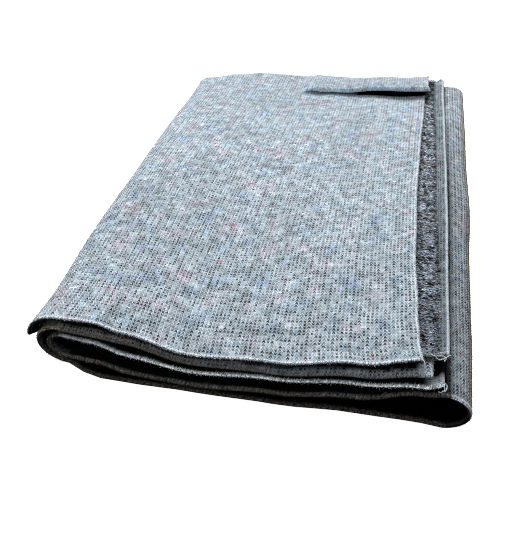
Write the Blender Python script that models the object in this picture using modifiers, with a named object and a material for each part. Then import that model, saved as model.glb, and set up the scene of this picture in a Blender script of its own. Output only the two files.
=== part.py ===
"""Moving blanket: one sheet of grey stitch-bonded felt, folded into a flat bundle.

The sheet is one continuous section of six layers, from its free right edge on top:
TOP -> left fold -> SECOND -> right fold -> THIRD -> outer left turn -> FLOOR -> right loop
-> FIFTH -> inner left turn -> FOURTH -> free right edge inside the bundle.

Frame: metres, +Z up. X runs across the bundle, Y along its depth, away from the open layer ends.
The origin is on the floor, under the middle of the bundle.
"""

from math import cos, pi, sin

import bmesh
import bpy

# ---------------------------------------------------------------- driving sizes
MM = 0.001
CLOTH_THICKNESS = 3.5 * MM
BUNDLE_DEPTH = 600 * MM        # nominal, from the near layer ends to the far ones
ORIGIN_Y = 301.4 * MM          # depth of the origin behind the near end
ORIGIN_X = -1.1 * MM           # the middle of the bounding box across the bundle

LEFT_TURN_X = -166 * MM        # the runs end here and the left folds begin
LOOP_X = 176 * MM              # FIFTH turns down into FLOOR
FOURTH_END_X = 170.5 * MM      # free edge inside the bundle

OUTER_TURN_REACH = 26.2 * MM   # THIRD to FLOOR, at the cloth's middle
INNER_TURN_REACH = 17.2 * MM   # FIFTH to FOURTH
FOLD_LAYER_STEP = 4.7 * MM     # from one nested layer to the next around the left shoulder

# Columns across the bundle, in mm, at which the tables below are given.
COLUMNS_X = (-170, -135, -105, -45, 30, 100, 155, 178)

# Air under each layer, in mm, above the layer below it: near the open end, and at the far end.
#                 left  crown shoulder  dip  middle  rise  right  loop
AIR_NEAR = {
    "fifth":     (1.3,  2.0,   1.5,     3.5,  10.5,  15.0, 25.0,  28.5),
    "fourth":    (26.2, 25.0,  20.0,    16.0, 16.5,  16.0, 8.5,   7.0),
    "third":     (5.5,  10.0,  14.0,    13.0, 9.0,   9.0,  9.0,   8.0),
    "second":    (2.2,  1.5,   1.5,     1.8,  1.8,   1.5,  1.3,   1.3),
    "top":       (2.3,  1.5,   1.5,     1.7,  1.7,   1.5,  1.3,   1.3),
}
AIR_FAR = {
    "fifth":     (1.3,  1.4,   1.5,     1.5,  6.0,   15.0, 24.0,  27.0),
    "fourth":    (15.0, 17.0,  18.0,    15.5, 13.0,  9.0,  5.0,   5.0),
    "third":     (2.0,  2.5,   3.0,     5.0,  5.0,   5.5,  5.5,   5.0),
    "second":    (1.6,  1.6,   1.6,     1.6,  1.6,   1.6,  1.6,   1.6),
    "top":       (1.6,  1.6,   1.6,     1.6,  1.6,   1.6,  1.6,   1.6),
}
STACK = ("fifth", "fourth", "third", "second", "top")
FAR_BLEND_START = 300 * MM
FAR_BLEND_END = 590 * MM

# Depth of each layer's near and far edge, in mm, at the same columns.
#                 left  crown shoulder  dip  middle  rise  right  loop
NEAR_EDGE = {
    "top":       (0,    0,     -2,      -10,  -7,    3,    15,    15),
    "second":    (30,   30,    30,      32,   33,    32,   25,    34),
    "third":     (-1,   -2,    -3,      -10,  -8,    -2,   6,     6),
    "fourth":    (-1,   -3,    -6,      -10,  -8,    -1,   5,     12),
    "fifth":     (-1,   -3,    -8,      -10,  -8,    -1,   6,     7),
    "floor":     (-2,   -13,   -12.5,   -10,  -7,    -1,   1,     0),
}
FAR_EDGE = {
    "top":       (547,  560,   568,     571,  570,   570,  572,   572),
    "second":    (549,  562,   571,     574,  574,   574,  576,   576),
    "third":     (562,  577,   588,     591,  590,   593,  592,   587),
    "fourth":    (562,  577,   590,     598,  599,   602,  602,   602),
    "fifth":     (562,  577,   590,     598,  600,   604,  606,   606),
    "floor":     (562,  577,   590,     598,  600,   604,  606,   606),
}

# The near ends of the two layers that nothing holds up from above sag, in mm at the same columns.
TOP_SAG = (0, 0.5, 4.0, 5.0, 3.5, 2.0, 0.7, 0.7)
TOP_SAG_DEPTH = 42 * MM
THIRD_LIP = (2.0, 6.0, 5.5, 5.5, 5.0, 1.6, 0, 0)
THIRD_LIP_DEPTH = 16 * MM

# Lines that run along the bundle, in mm: where each one lies across it, by depth.
TOP_EDGE_Y = (0, 25, 60, 160, 270, 380, 510, 570)
TOP_EDGE_X = (150, 146.5, 144, 139, 137.2, 138, 141, 146)       # free right edge of TOP
LEFT_SWAY_Y = (0, 40, 140, 265, 450, 600)
LEFT_SWAY_X = (-3.2, 1.5, -3, -0.5, -4, -8)                     # the left folds waver by this much
RIGHT_FOLD_Y = (30, 180, 300, 400, 530)
RIGHT_FOLD_X = (168.5, 168, 167, 165.5, 164.5)                  # SECOND turns under into THIRD
STEP_Y = (100, 290, 520)
STEP_X = (161.5, 157, 153)                                      # SECOND and THIRD step down there
LOOP_REACH_Y = (0, 90, 190, 290, 390, 470)
LOOP_REACH = (20.2, 22.6, 23.2, 26.5, 25, 25.5)                 # how far FLOOR to FIFTH bulges out

LEFT_SWAY_WIDTH = 60 * MM       # the waver fades out over this much of the runs
STEP_WIDTH = 6.5 * MM
STEP_DROP = 2.0 * MM

# Beyond its free near corner THIRD starts as far back as SECOND, and SECOND ends as far back as THIRD.
# Its near corner leans to the right, out from the line where SECOND begins.
NEAR_CORNER_X = 155 * MM
NEAR_CORNER_WIDTH = 2.5 * MM
NEAR_CORNER_LEAN = 5 * MM
NEAR_CORNER_LEAN_WIDTH = 12 * MM
NEAR_CORNER_DEPTH = 34 * MM
FAR_CORNER_X = 153 * MM
FAR_CORNER_WIDTH = 12 * MM
LOOP_FAR_BULGE = 10 * MM        # the open loop reaches a little further back at its outer side

# Slow unevenness: shares of the air, wave lengths over two pi, and the distance it fades in over.
SWELL_LONG = 0.05
SWELL_LONG_Y = 85 * MM
SWELL_LONG_X = 50 * MM
SWELL_SHORT = 0.04
SWELL_SHORT_Y = 47 * MM
SWELL_SHORT_X = 60 * MM
SWELL_FADE = 140 * MM
SWELL_FREE_AIR = 1.2 * MM      # this much of the air under a layer stays even

# The left fold of TOP over SECOND droops around the shoulder, in degrees past the crest.
DROOP_NEAR = 80.0
DROOP_FAR = 50.0
FOLD_TIP_SHARE = 0.4           # of the step between the two near edges, taken at the fold's tip
RIGHT_FOLD_POINTS = 3

# The pleat across the far end of TOP. It turns up, back over itself and on again. Towards the left
# its lap gets short, then its two turns open out until the cloth is flat.
PLEAT_LINE_X = (-30, 10, 50, 100)       # its near turn bows back a little, in mm
PLEAT_LINE_Y = (502, 512, 510, 505)
PLEAT_RADIUS = 2.4 * MM        # of its two turns where it is closed, at the cloth's middle
PLEAT_LAP = 20 * MM
PLEAT_SHORT_LAP = 2 * MM
PLEAT_GAPE = 24.0              # how far its mouth opens at the right, in degrees
PLEAT_SLOPE = ((0.2, 1.0), (0.6, 0.75), (1.0, 0.2))     # behind it: share of the way, share of its height
PLEAT_TURN_STEPS = 4
PLEAT_FLAT_X = -80 * MM        # the rows gather from here to PLEAT_OPENING_X
PLEAT_OPENING_X = -42 * MM     # its turns close from here to PLEAT_CLOSED_X
PLEAT_CLOSED_X = 3 * MM        # its lap grows from here to PLEAT_LAPPED_X
PLEAT_LAPPED_X = 45 * MM
PLEAT_GAPING_X = 105 * MM      # and its mouth opens from PLEAT_CLOSED_X to here

# Places across the bundle that the runs share, and the closer ones by the right fold, in mm.
UPPER_PLACES = (-135, -105, -75, -45, -22, 0, 25, 50, 75, 100, 128)
SECOND_RIGHT_PLACES = (151, 156, 161)
THIRD_RIGHT_PLACES = (148, 155, 157.5, 162.5)
LOWER_PLACES = (-135, -105, -60, -8, 45, 100, 152)
FLOOR_PLACES = (-135, -105, -45, 30, 100, 150)
ARM_POINTS = 4
TIP_POINTS = 4
TURN_POINTS = 8

# Rows of the sheet along its depth, in mm, and the rows of the pleat behind them.
OPEN_ROWS = (0, 4, 9, 16, 26, 42, 70, 110, 160, 225, 300, 380, 450)
PLEAT_ROWS = 2 * PLEAT_TURN_STEPS + 7

FELT_COLOUR = (0.36, 0.40, 0.44, 1.0)
FELT_ROUGHNESS = 0.95
SHARP_ANGLE = 40 * pi / 180


# ---------------------------------------------------------------- small helpers
def smooth(value):
    """Ease from 0 to 1, flat at both ends."""
    value = min(max(value, 0.0), 1.0)
    return value * value * (3.0 - 2.0 * value)


def along(positions, values, where):
    """Read a row of a table at a place between its columns, with an eased blend."""
    if where <= positions[0]:
        return values[0]
    for left, right, low, high in zip(positions, positions[1:], values, values[1:]):
        if where <= right:
            return low + (high - low) * smooth((where - left) / (right - left))
    return values[-1]


def row(table_row, x):
    return along(COLUMNS_X, table_row, x / MM) * MM


# ---------------------------------------------------------------- heights of the layers
def far_share(y):
    return smooth((y - FAR_BLEND_START) / (FAR_BLEND_END - FAR_BLEND_START))


def swell(x, y):
    """The slow unevenness of the bundle between its ends, shared by all its layers, as a factor on the air."""
    inside = smooth(y / SWELL_FADE) * smooth((BUNDLE_DEPTH - y) / SWELL_FADE)
    long_wave = SWELL_LONG * sin(y / SWELL_LONG_Y + x / SWELL_LONG_X)
    short_wave = SWELL_SHORT * sin(y / SWELL_SHORT_Y - x / SWELL_SHORT_X)
    return 1.0 + inside * (long_wave + short_wave)


def height(layer, x, y):
    """Middle of a layer's cloth, stacked from the floor up."""
    z = CLOTH_THICKNESS / 2
    if layer == "floor":
        return z
    for name in STACK:
        near = row(AIR_NEAR[name], x)
        far = row(AIR_FAR[name], x)
        air = near + (far - near) * far_share(y)
        least = min(air, SWELL_FREE_AIR)
        z += CLOTH_THICKNESS + least + (air - least) * swell(x, y)
        if name == layer:
            return z
    raise KeyError(layer)


def near_edge(layer, x):
    depth = row(NEAR_EDGE[layer], x)
    if layer == "third":
        further_back = row(NEAR_EDGE["second"], x) - depth
        depth += further_back * smooth((x - NEAR_CORNER_X) / NEAR_CORNER_WIDTH)
    return depth


def corner_lean(x, y):
    """How far the near corner of THIRD leans to the right at a depth."""
    share = smooth((x - NEAR_CORNER_X + NEAR_CORNER_LEAN_WIDTH) / NEAR_CORNER_LEAN_WIDTH)
    return NEAR_CORNER_LEAN * share * min(max(1 - y / NEAR_CORNER_DEPTH, 0.0), 1.0)


def far_edge(layer, x):
    depth = row(FAR_EDGE[layer], x)
    if layer == "second":
        further_back = row(FAR_EDGE["third"], x) - depth
        depth += further_back * smooth((x - FAR_CORNER_X) / FAR_CORNER_WIDTH)
    return depth


def line_x(table_y, table_x, y):
    """Where one of the long lines lies across the bundle at a depth."""
    return along(table_y, table_x, y / MM) * MM


def right_step(x, y):
    return STEP_DROP * smooth((x - line_x(STEP_Y, STEP_X, y)) / STEP_WIDTH)


# ---------------------------------------------------------------- the folded section
def places(first, shared, last):
    """Places along a run from its left end to its right one, in metres."""
    return [first] + [x * MM for x in shared] + [last]


def spread(first, last, count):
    """Values strictly between two others."""
    return [first + (last - first) * (step + 1) / (count + 1) for step in range(count)]


def section(y):
    """The sheet's middle line at one depth: a list of (layer, x, z, near, far)."""
    line = []
    depth = max(y, 0.0)
    left = LEFT_TURN_X
    right = line_x(RIGHT_FOLD_Y, RIGHT_FOLD_X, depth)
    top_right = line_x(TOP_EDGE_Y, TOP_EDGE_X, depth)

    def add(layer, x, z, near, far):
        line.append((layer, x, z, near, far))

    def add_run(layer, run_places):
        for x in run_places:
            z = height(layer, x, depth)
            if layer in ("second", "third"):
                z -= right_step(x, depth)
            add(layer, x, z, near_edge(layer, x), far_edge(layer, x))

    def add_turn(name, start, end, x, reach, side, count, far_bulge=0.0):
        """A turn from one layer to another, bulging to one side."""
        z_start, z_end = height(start, x, depth), height(end, x, depth)
        middle, half = (z_start + z_end) / 2, (z_start - z_end) / 2
        for share in spread(0.0, 1.0, count):
            angle = share * pi
            near = near_edge(start, x) * (1 - share) + near_edge(end, x) * share
            far = far_edge(start, x) * (1 - share) + far_edge(end, x) * share + far_bulge * sin(angle)
            add(name, x + side * reach * sin(angle), middle + half * cos(angle), near, far)

    # TOP, from its free right edge to the left shoulder
    add_run("top", places(left, UPPER_PLACES, top_right)[::-1])

    # the left fold, drooping around the shoulder of THIRD's outer turn
    centre_z = (height("third", left, depth) + CLOTH_THICKNESS / 2) / 2
    bend = (DROOP_NEAR + (DROOP_FAR - DROOP_NEAR) * smooth(depth / BUNDLE_DEPTH)) * pi / 180
    arms = {}
    for layer, steps_out in (("top", 2), ("second", 1)):
        arms[layer] = (OUTER_TURN_REACH + steps_out * FOLD_LAYER_STEP, height(layer, left, depth) - centre_z)

    def on_arm(layer, angle):
        reach, rise = arms[layer]
        return left - reach * sin(angle), centre_z + rise * cos(angle)

    top_near, top_far = near_edge("top", left), far_edge("top", left)
    low_near, low_far = near_edge("second", left), far_edge("second", left)
    for angle in spread(0.0, bend, ARM_POINTS) + [bend]:
        x, z = on_arm("top", angle)
        add("top", x, z, top_near, top_far)
    x_top, z_top = on_arm("top", bend)
    x_low, z_low = on_arm("second", bend)
    middle_x, middle_z = (x_top + x_low) / 2, (z_top + z_low) / 2
    out_x, out_z = (x_top - x_low) / 2, (z_top - z_low) / 2
    for share in spread(0.0, 1.0, TIP_POINTS):
        turn = share * pi
        x = middle_x + out_x * cos(turn) - out_z * sin(turn)
        z = middle_z + out_z * cos(turn) + out_x * sin(turn)
        add("fold", x, z, top_near + (low_near - top_near) * share * FOLD_TIP_SHARE, top_far)
    for angle in [bend] + spread(0.0, bend, ARM_POINTS)[::-1]:
        x, z = on_arm("second", angle)
        share = FOLD_TIP_SHARE + (1 - FOLD_TIP_SHARE) * (1 - angle / bend)
        near = top_near + (low_near - top_near) * share
        add("second", x, z, near, top_far + (low_far - top_far) * share)

    # SECOND, and the right fold into THIRD
    add_run("second", places(left, UPPER_PLACES + SECOND_RIGHT_PLACES, right))
    half = (height("second", right, depth) - height("third", right, depth)) / 2
    middle = height("third", right, depth) - right_step(right, depth) + half
    for share in spread(0.0, 1.0, RIGHT_FOLD_POINTS):
        x = right + half * sin(share * pi)
        add("third", x, middle + half * cos(share * pi), near_edge("second", right), far_edge("third", right))

    # THIRD, back to the left, around the outer turn and along the floor
    add_run("third", places(left, UPPER_PLACES + THIRD_RIGHT_PLACES, right)[::-1])
    add_turn("floor", "third", "floor", left, OUTER_TURN_REACH, -1, TURN_POINTS)
    add_run("floor", places(left, FLOOR_PLACES, LOOP_X))

    # the open loop on the right, then FIFTH, the inner turn and FOURTH
    loop_reach = line_x(LOOP_REACH_Y, LOOP_REACH, depth)
    add_turn("fifth", "floor", "fifth", LOOP_X, loop_reach, 1, TURN_POINTS, LOOP_FAR_BULGE)
    add_run("fifth", places(left, LOWER_PLACES, LOOP_X)[::-1])
    add_turn("fourth", "fifth", "fourth", left, INNER_TURN_REACH, -1, TURN_POINTS - 2)
    add_run("fourth", places(left, LOWER_PLACES, FOURTH_END_X))
    return line


# ---------------------------------------------------------------- depth of the rows, sag and pleat
def grown(x, start, end):
    return smooth((x - start) / (end - start))


def pleat_line(x, far_y):
    """The pleat's own line across the depth, as (y, lift) from its lead-in to the far edge."""
    closed = grown(x, PLEAT_OPENING_X, PLEAT_CLOSED_X)
    lap = PLEAT_SHORT_LAP + (PLEAT_LAP - PLEAT_SHORT_LAP) * grown(x, PLEAT_CLOSED_X, PLEAT_LAPPED_X)
    gape = grown(x, PLEAT_CLOSED_X, PLEAT_GAPING_X) * PLEAT_GAPE * pi / 180
    turn = max(pi * closed, 0.001)
    radius = PLEAT_RADIUS * pi / turn
    turn -= gape
    near_turn = line_x(PLEAT_LINE_X, PLEAT_LINE_Y, x)
    start = near_turn + lap * (1 - cos(turn)) / 2
    points = [(near_turn - PLEAT_LAP, 0.0), (start - PLEAT_LAP / 3, 0.0)]
    for step in range(PLEAT_TURN_STEPS + 1):
        angle = turn * step / PLEAT_TURN_STEPS
        points.append((start + radius * sin(angle), radius * (1 - cos(angle))))
    back_y = points[-1][0] + lap * cos(turn)
    back_z = points[-1][1] + lap * sin(turn)
    for step in range(PLEAT_TURN_STEPS + 1):
        angle = turn * (1 - step / PLEAT_TURN_STEPS)
        points.append((back_y + radius * (sin(turn) - sin(angle)), back_z + radius * (cos(angle) - cos(turn))))
    end_y, crest = points[-1]
    for way, share in PLEAT_SLOPE:
        points.append((end_y + (far_y - end_y) * way, crest * share))
    return points


def row_depths():
    """Nominal depths of all rows, from the near end to the far one."""
    last = OPEN_ROWS[-1] * MM
    step = (BUNDLE_DEPTH - last) / PLEAT_ROWS
    return [depth * MM for depth in OPEN_ROWS] + [last + step * (number + 1) for number in range(PLEAT_ROWS)]


def pleated(number, depth, x, z, near, far):
    """A point of TOP moved onto the pleat, as far as it is closed there: its depth and height."""
    y = near + (far - near) * depth / BUNDLE_DEPTH
    pleat_number = number - len(OPEN_ROWS)
    if pleat_number < 0:
        return y, z
    pleat_y, lift = pleat_line(x, far)[pleat_number]
    shift = (pleat_y - y) * grown(x, PLEAT_FLAT_X, PLEAT_OPENING_X)
    real_depth = depth + shift / (far - near) * BUNDLE_DEPTH
    return y + shift, z + lift + height("top", x, real_depth) - height("top", x, depth)


def left_sway(x, y):
    """How far the left folds waver at a depth, fading out along the runs."""
    return line_x(LEFT_SWAY_Y, LEFT_SWAY_X, y) * smooth((LEFT_TURN_X + LEFT_SWAY_WIDTH - x) / LEFT_SWAY_WIDTH)


def place_row(number, depth):
    """One row of the sheet's points, at its real depths."""
    points = []
    for layer, x, z, near, far in section(depth):
        y = near + (far - near) * depth / BUNDLE_DEPTH
        behind_edge = y - near
        if layer == "top":
            z -= row(TOP_SAG, x) * smooth(1 - behind_edge / TOP_SAG_DEPTH)
            y, z = pleated(number, depth, x, z, near, far)
        if layer == "third":
            z -= row(THIRD_LIP, x) * smooth(1 - behind_edge / THIRD_LIP_DEPTH)
            x += corner_lean(x, y)
        points.append((x + left_sway(x, y) - ORIGIN_X, y - ORIGIN_Y, z))
    return points


# ---------------------------------------------------------------- objects
def clear_objects():
    for item in list(bpy.data.objects):
        bpy.data.objects.remove(item, do_unlink=True)


def felt_material():
    material = bpy.data.materials.new("grey_felt")
    material.use_nodes = True
    shader = material.node_tree.nodes["Principled BSDF"]
    shader.inputs["Base Color"].default_value = FELT_COLOUR
    shader.inputs["Roughness"].default_value = FELT_ROUGHNESS
    shader.inputs["Metallic"].default_value = 0.0
    return material


def blanket_object(collection):
    mesh = bpy.data.meshes.new("blanket")
    sheet = bmesh.new()
    rows = []
    for number, depth in enumerate(row_depths()):
        rows.append([sheet.verts.new(point) for point in place_row(number, depth)])
    for near_row, far_row in zip(rows, rows[1:]):
        for place in range(len(near_row) - 1):
            sheet.faces.new((near_row[place], far_row[place], far_row[place + 1], near_row[place + 1]))
    bmesh.ops.recalc_face_normals(sheet, faces=sheet.faces)
    sheet.to_mesh(mesh)
    sheet.free()
    blanket = bpy.data.objects.new("blanket", mesh)
    collection.objects.link(blanket)
    blanket.data.materials.append(felt_material())
    thickness = blanket.modifiers.new("cloth thickness", "SOLIDIFY")
    thickness.thickness = CLOTH_THICKNESS
    thickness.offset = 0.0
    thickness.use_even_offset = True
    mesh.shade_smooth()
    mesh.set_sharp_from_angle(angle=SHARP_ANGLE)
    return blanket


def main():
    clear_objects()
    collection = bpy.data.collections.new("moving_blanket")
    bpy.context.scene.collection.children.link(collection)
    blanket_object(collection)


main()
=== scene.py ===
"""Looks of the moving blanket: the part's folded sheet in a finer mesh, with its stitches, its overlocked
edges, its fuzz and its felt material.

The sheet is one continuous section of six layers, from its free right edge on top:
TOP -> left fold -> SECOND -> right fold -> THIRD -> outer left turn -> FLOOR -> right loop
-> FIFTH -> inner left turn -> FOURTH -> free right edge inside the bundle.
Row frame: metres, +Z up, +Y away from the open layer ends.
"""

import bpy
import numpy as np
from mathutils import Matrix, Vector

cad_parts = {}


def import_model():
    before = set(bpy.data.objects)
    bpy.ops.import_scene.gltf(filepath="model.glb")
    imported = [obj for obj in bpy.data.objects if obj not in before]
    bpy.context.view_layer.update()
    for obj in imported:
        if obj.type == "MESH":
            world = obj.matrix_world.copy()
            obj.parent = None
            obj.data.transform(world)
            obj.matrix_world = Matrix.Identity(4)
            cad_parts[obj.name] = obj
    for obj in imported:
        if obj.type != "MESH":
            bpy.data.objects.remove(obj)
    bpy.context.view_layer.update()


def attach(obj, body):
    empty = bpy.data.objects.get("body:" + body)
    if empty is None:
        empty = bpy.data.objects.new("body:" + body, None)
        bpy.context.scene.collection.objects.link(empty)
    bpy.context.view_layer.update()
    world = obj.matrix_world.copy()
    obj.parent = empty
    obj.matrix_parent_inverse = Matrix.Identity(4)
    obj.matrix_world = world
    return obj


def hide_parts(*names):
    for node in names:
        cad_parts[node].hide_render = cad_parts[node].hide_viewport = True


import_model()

# ---- driving sizes of the folded sheet
MM = 0.001
CLOTH_THICKNESS = 3.5 * MM
BUNDLE_DEPTH = 600 * MM
ORIGIN_Y = 301.4 * MM
ORIGIN_X = -1.1 * MM

LEFT_TURN_X = -166 * MM
LOOP_X = 176 * MM
FOURTH_END_X = 170.5 * MM
OUTER_TURN_REACH = 26.2 * MM
INNER_TURN_REACH = 17.2 * MM
FOLD_LAYER_STEP = 4.7 * MM

# The tables below have a value, in mm, at each of these x: left, crown, shoulder, dip, middle, rise, right
# and loop.
COLUMNS_X = (-170, -135, -105, -45, 30, 100, 155, 178)
AIR_NEAR = {  # free height below each layer
    "fifth": (1.3, 2.0, 1.5, 3.5, 10.5, 15.0, 25.0, 28.5),
    "fourth": (26.2, 25.0, 20.0, 16.0, 16.5, 16.0, 8.5, 7.0),
    "third": (5.5, 10.0, 14.0, 13.0, 9.0, 9.0, 9.0, 8.0),
    "second": (2.2, 1.5, 1.5, 1.8, 1.8, 1.5, 1.3, 1.3),
    "top": (2.3, 1.5, 1.5, 1.7, 1.7, 1.5, 1.3, 1.3),
}
AIR_FAR = {
    "fifth": (1.3, 1.4, 1.5, 1.5, 6.0, 15.0, 24.0, 27.0),
    "fourth": (15.0, 17.0, 18.0, 15.5, 13.0, 9.0, 5.0, 5.0),
    "third": (2.0, 2.5, 3.0, 5.0, 5.0, 5.5, 5.5, 5.0),
    "second": (1.6,) * 8,
    "top": (1.6,) * 8,
}
STACK = ("fifth", "fourth", "third", "second", "top")
FAR_BLEND_START = 300 * MM
FAR_BLEND_END = 590 * MM

NEAR_EDGE = {  # depths at which each layer starts and ends
    "top": (0, 0, -2, -10, -7, 3, 15, 15),
    "second": (30, 30, 30, 32, 33, 32, 25, 34),
    "third": (-1, -2, -3, -10, -8, -2, 6, 6),
    "fourth": (-1, -3, -6, -10, -8, -1, 5, 12),
    "fifth": (-1, -3, -8, -10, -8, -1, 6, 7),
    "floor": (-2, -13, -12.5, -10, -7, -1, 1, 0),
}
FAR_EDGE = {
    "top": (547, 560, 568, 571, 570, 570, 572, 572),
    "second": (549, 562, 571, 574, 574, 574, 576, 576),
    "third": (562, 577, 588, 591, 590, 593, 592, 587),
    "fourth": (562, 577, 590, 598, 599, 602, 602, 602),
    "fifth": (562, 577, 590, 598, 600, 604, 606, 606),
    "floor": (562, 577, 590, 598, 600, 604, 606, 606),
}
TOP_SAG = (0, 0.5, 4.0, 5.0, 3.5, 2.0, 0.7, 0.7)
TOP_SAG_DEPTH = 42 * MM
THIRD_LIP = (2.0, 6.0, 5.5, 5.5, 5.0, 1.6, 0, 0)
THIRD_LIP_DEPTH = 16 * MM

# Lines that change over the depth: depths, and the line's value at each of them, in mm.
TOP_EDGE = ((0, 25, 60, 160, 270, 380, 510, 570), (150, 146.5, 144, 139, 137.2, 138, 141, 146))
LEFT_SWAY = ((0, 40, 140, 265, 450, 600), (-0.5, 1.5, -3, -0.5, -4, -8))
RIGHT_FOLD = ((30, 180, 300, 400, 530), (168.5, 168, 167, 165.5, 164.5))
STEP = ((100, 290, 520), (161.5, 157, 153))
LOOP_REACH = ((0, 90, 190, 290, 390, 470), (20.2, 22.6, 23.2, 26.5, 25, 25.5))

LEFT_SWAY_WIDTH = 60 * MM
STEP_WIDTH = 6.5 * MM
STEP_DROP = 2.0 * MM
NEAR_CORNER_X = 155 * MM
NEAR_CORNER_WIDTH = 2.5 * MM
NEAR_CORNER_LEAN = 5 * MM
NEAR_CORNER_LEAN_WIDTH = 12 * MM
NEAR_CORNER_DEPTH = 34 * MM
FAR_CORNER_X = 153 * MM
FAR_CORNER_WIDTH = 12 * MM
LOOP_FAR_BULGE = 10 * MM

SWELLS = ((0.05, 85 * MM, 50 * MM), (0.04, 47 * MM, -60 * MM))  # two waves: height, and lengths along y and x
SWELL_FADE = 140 * MM
SWELL_FREE_AIR = 1.2 * MM

DROOP_NEAR = 80.0
DROOP_FAR = 50.0
FOLD_TIP_SHARE = 0.4

PLEAT_LINE = ((-30, 10, 50, 100), (502, 515, 513, 505))  # x, and the depth of the pleat's front there, in mm
PLEAT_RADIUS = 2.4 * MM
PLEAT_LAP = 20 * MM
PLEAT_SHORT_LAP = 2 * MM
PLEAT_GAPE = 24.0
PLEAT_SLOPE = (  # behind the crest: the share of the way to the far edge, and of the crest's height
    (0.08, 1.0), (0.2, 1.0), (0.33, 0.94), (0.46, 0.86), (0.6, 0.75), (0.7, 0.62),
    (0.8, 0.48), (0.9, 0.34), (0.96, 0.25), (0.985, 0.22), (1.0, 0.2),
)
PLEAT_LEAD_ROWS = 5
PLEAT_ARC_ROWS = 7
LAP_SHARES = (0.33, 0.67)
CREST_ROW = PLEAT_LEAD_ROWS + 2 * PLEAT_ARC_ROWS + len(LAP_SHARES)
PLEAT_ROWS = CREST_ROW + len(PLEAT_SLOPE)
MOUTH_ROW = 2  # the first of the pleat's rows that is in its painted shade
MOUTH_LEAD = 3 * MM
MOUTH_EDGES = (-2 * MM, 1.5 * MM)  # the rows on either side of where the painted shade starts
PLEAT_FLAT_X = -80 * MM
PLEAT_OPENING_X = -42 * MM
PLEAT_CLOSED_X = 3 * MM
PLEAT_LAPPED_X = 45 * MM
PLEAT_GAPING_X = 105 * MM
PLEAT_SKEW_X = 140 * MM
MOUTH_X = (50, 80, 110, 140)
MOUTH_Y = (0, 2, 4.5, 7.5)  # how far behind the pleat's front its painted shade starts, in mm
# How far the pleat's rows stand out to the right, in mm: its plies don't lie quite square.
SKEW_ROWS = (
    0, MOUTH_ROW, PLEAT_LEAD_ROWS + PLEAT_ARC_ROWS - 1,
    CREST_ROW - PLEAT_ARC_ROWS, CREST_ROW - 1, CREST_ROW + 4, PLEAT_ROWS - 1,
)
SKEWS = (0, 0, 2.5, 4.0, -3.5, -3.0, -1.0)

# ---- how fine the sheet's mesh is
TOP_COLUMNS = 100
ARM_COLUMNS = 10
TIP_COLUMNS = 7
HIDDEN_COLUMNS = 26  # of each run under TOP, up to VISIBLE_X
VISIBLE_X = 118 * MM
BAND_COLUMNS = 20  # of each run from there to its right end
FOLD_COLUMNS = 7
TURN_COLUMNS = 16
FLOOR_COLUMNS = 20
EDGE_INSET = (0.0, 0.35, 0.9, 1.8, 3.0)  # rows and columns that round the cut edges, in mm
NEAR_ROWS = (4.5, 6.5, 9, 12, 15, 18, 21.5, 25, 29, 33.5)
OPEN_ROW_STEP = 6.0
OPEN_ROWS_END = 466.0

rng = np.random.default_rng(20)


# ---- small helpers
def smooth(value):
    """An eased step from 0 to 1."""
    value = np.clip(value, 0.0, 1.0)
    return value * value * (3.0 - 2.0 * value)


def unit(vectors):
    return vectors / np.linalg.norm(vectors, axis=-1, keepdims=True)


def mixed(first, second, share):
    return first + (second - first) * share


def grown(x, start, end):
    """An eased step from 0 at the start to 1 at the end."""
    return smooth((x - start) / (end - start))


def along(positions, values, where):
    """A table read at places between its columns, with an eased blend."""
    positions = np.asarray(positions, float)
    values = np.asarray(values, float)
    index = np.clip(np.searchsorted(positions, where) - 1, 0, len(positions) - 2)
    share = (where - positions[index]) / (positions[index + 1] - positions[index])
    return mixed(values[index], values[index + 1], smooth(share))


def row(table_row, x):
    return along(COLUMNS_X, table_row, np.asarray(x) / MM) * MM


def on_line(line, where):
    return along(*line, np.asarray(where) / MM) * MM


def swell(x, y):
    inside = smooth(y / SWELL_FADE) * smooth((BUNDLE_DEPTH - y) / SWELL_FADE)
    return 1.0 + inside * sum(size * np.sin(y / long_y + x / long_x) for size, long_y, long_x in SWELLS)


def height(layer, x, y):
    """Middle of a layer's cloth, stacked from the floor up."""
    z = CLOTH_THICKNESS / 2 + 0.0 * x
    if layer == "floor":
        return z
    for name in STACK:
        air = mixed(row(AIR_NEAR[name], x), row(AIR_FAR[name], x), grown(y, FAR_BLEND_START, FAR_BLEND_END))
        least = np.minimum(air, SWELL_FREE_AIR)
        z = z + CLOTH_THICKNESS + least + (air - least) * swell(x, y)
        if name == layer:
            return z
    raise KeyError(layer)


def near_edge(layer, x):
    depth = row(NEAR_EDGE[layer], x)
    if layer == "third":
        depth = mixed(depth, row(NEAR_EDGE["second"], x), smooth((x - NEAR_CORNER_X) / NEAR_CORNER_WIDTH))
    return depth


def far_edge(layer, x):
    depth = row(FAR_EDGE[layer], x)
    if layer == "second":
        depth = mixed(depth, row(FAR_EDGE["third"], x), smooth((x - FAR_CORNER_X) / FAR_CORNER_WIDTH))
    return depth


def right_step(x, y):
    return STEP_DROP * smooth((x - on_line(STEP, y)) / STEP_WIDTH)


def corner_lean(x, y):
    share = smooth((x - NEAR_CORNER_X + NEAR_CORNER_LEAN_WIDTH) / NEAR_CORNER_LEAN_WIDTH)
    return NEAR_CORNER_LEAN * share * np.clip(1 - y / NEAR_CORNER_DEPTH, 0.0, 1.0)


def left_sway(x, y):
    return on_line(LEFT_SWAY, y) * smooth((LEFT_TURN_X + LEFT_SWAY_WIDTH - x) / LEFT_SWAY_WIDTH)


def between(first, last, count):
    """Values strictly between two others."""
    return first + (last - first) * np.arange(1, count + 1) / (count + 1)


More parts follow.
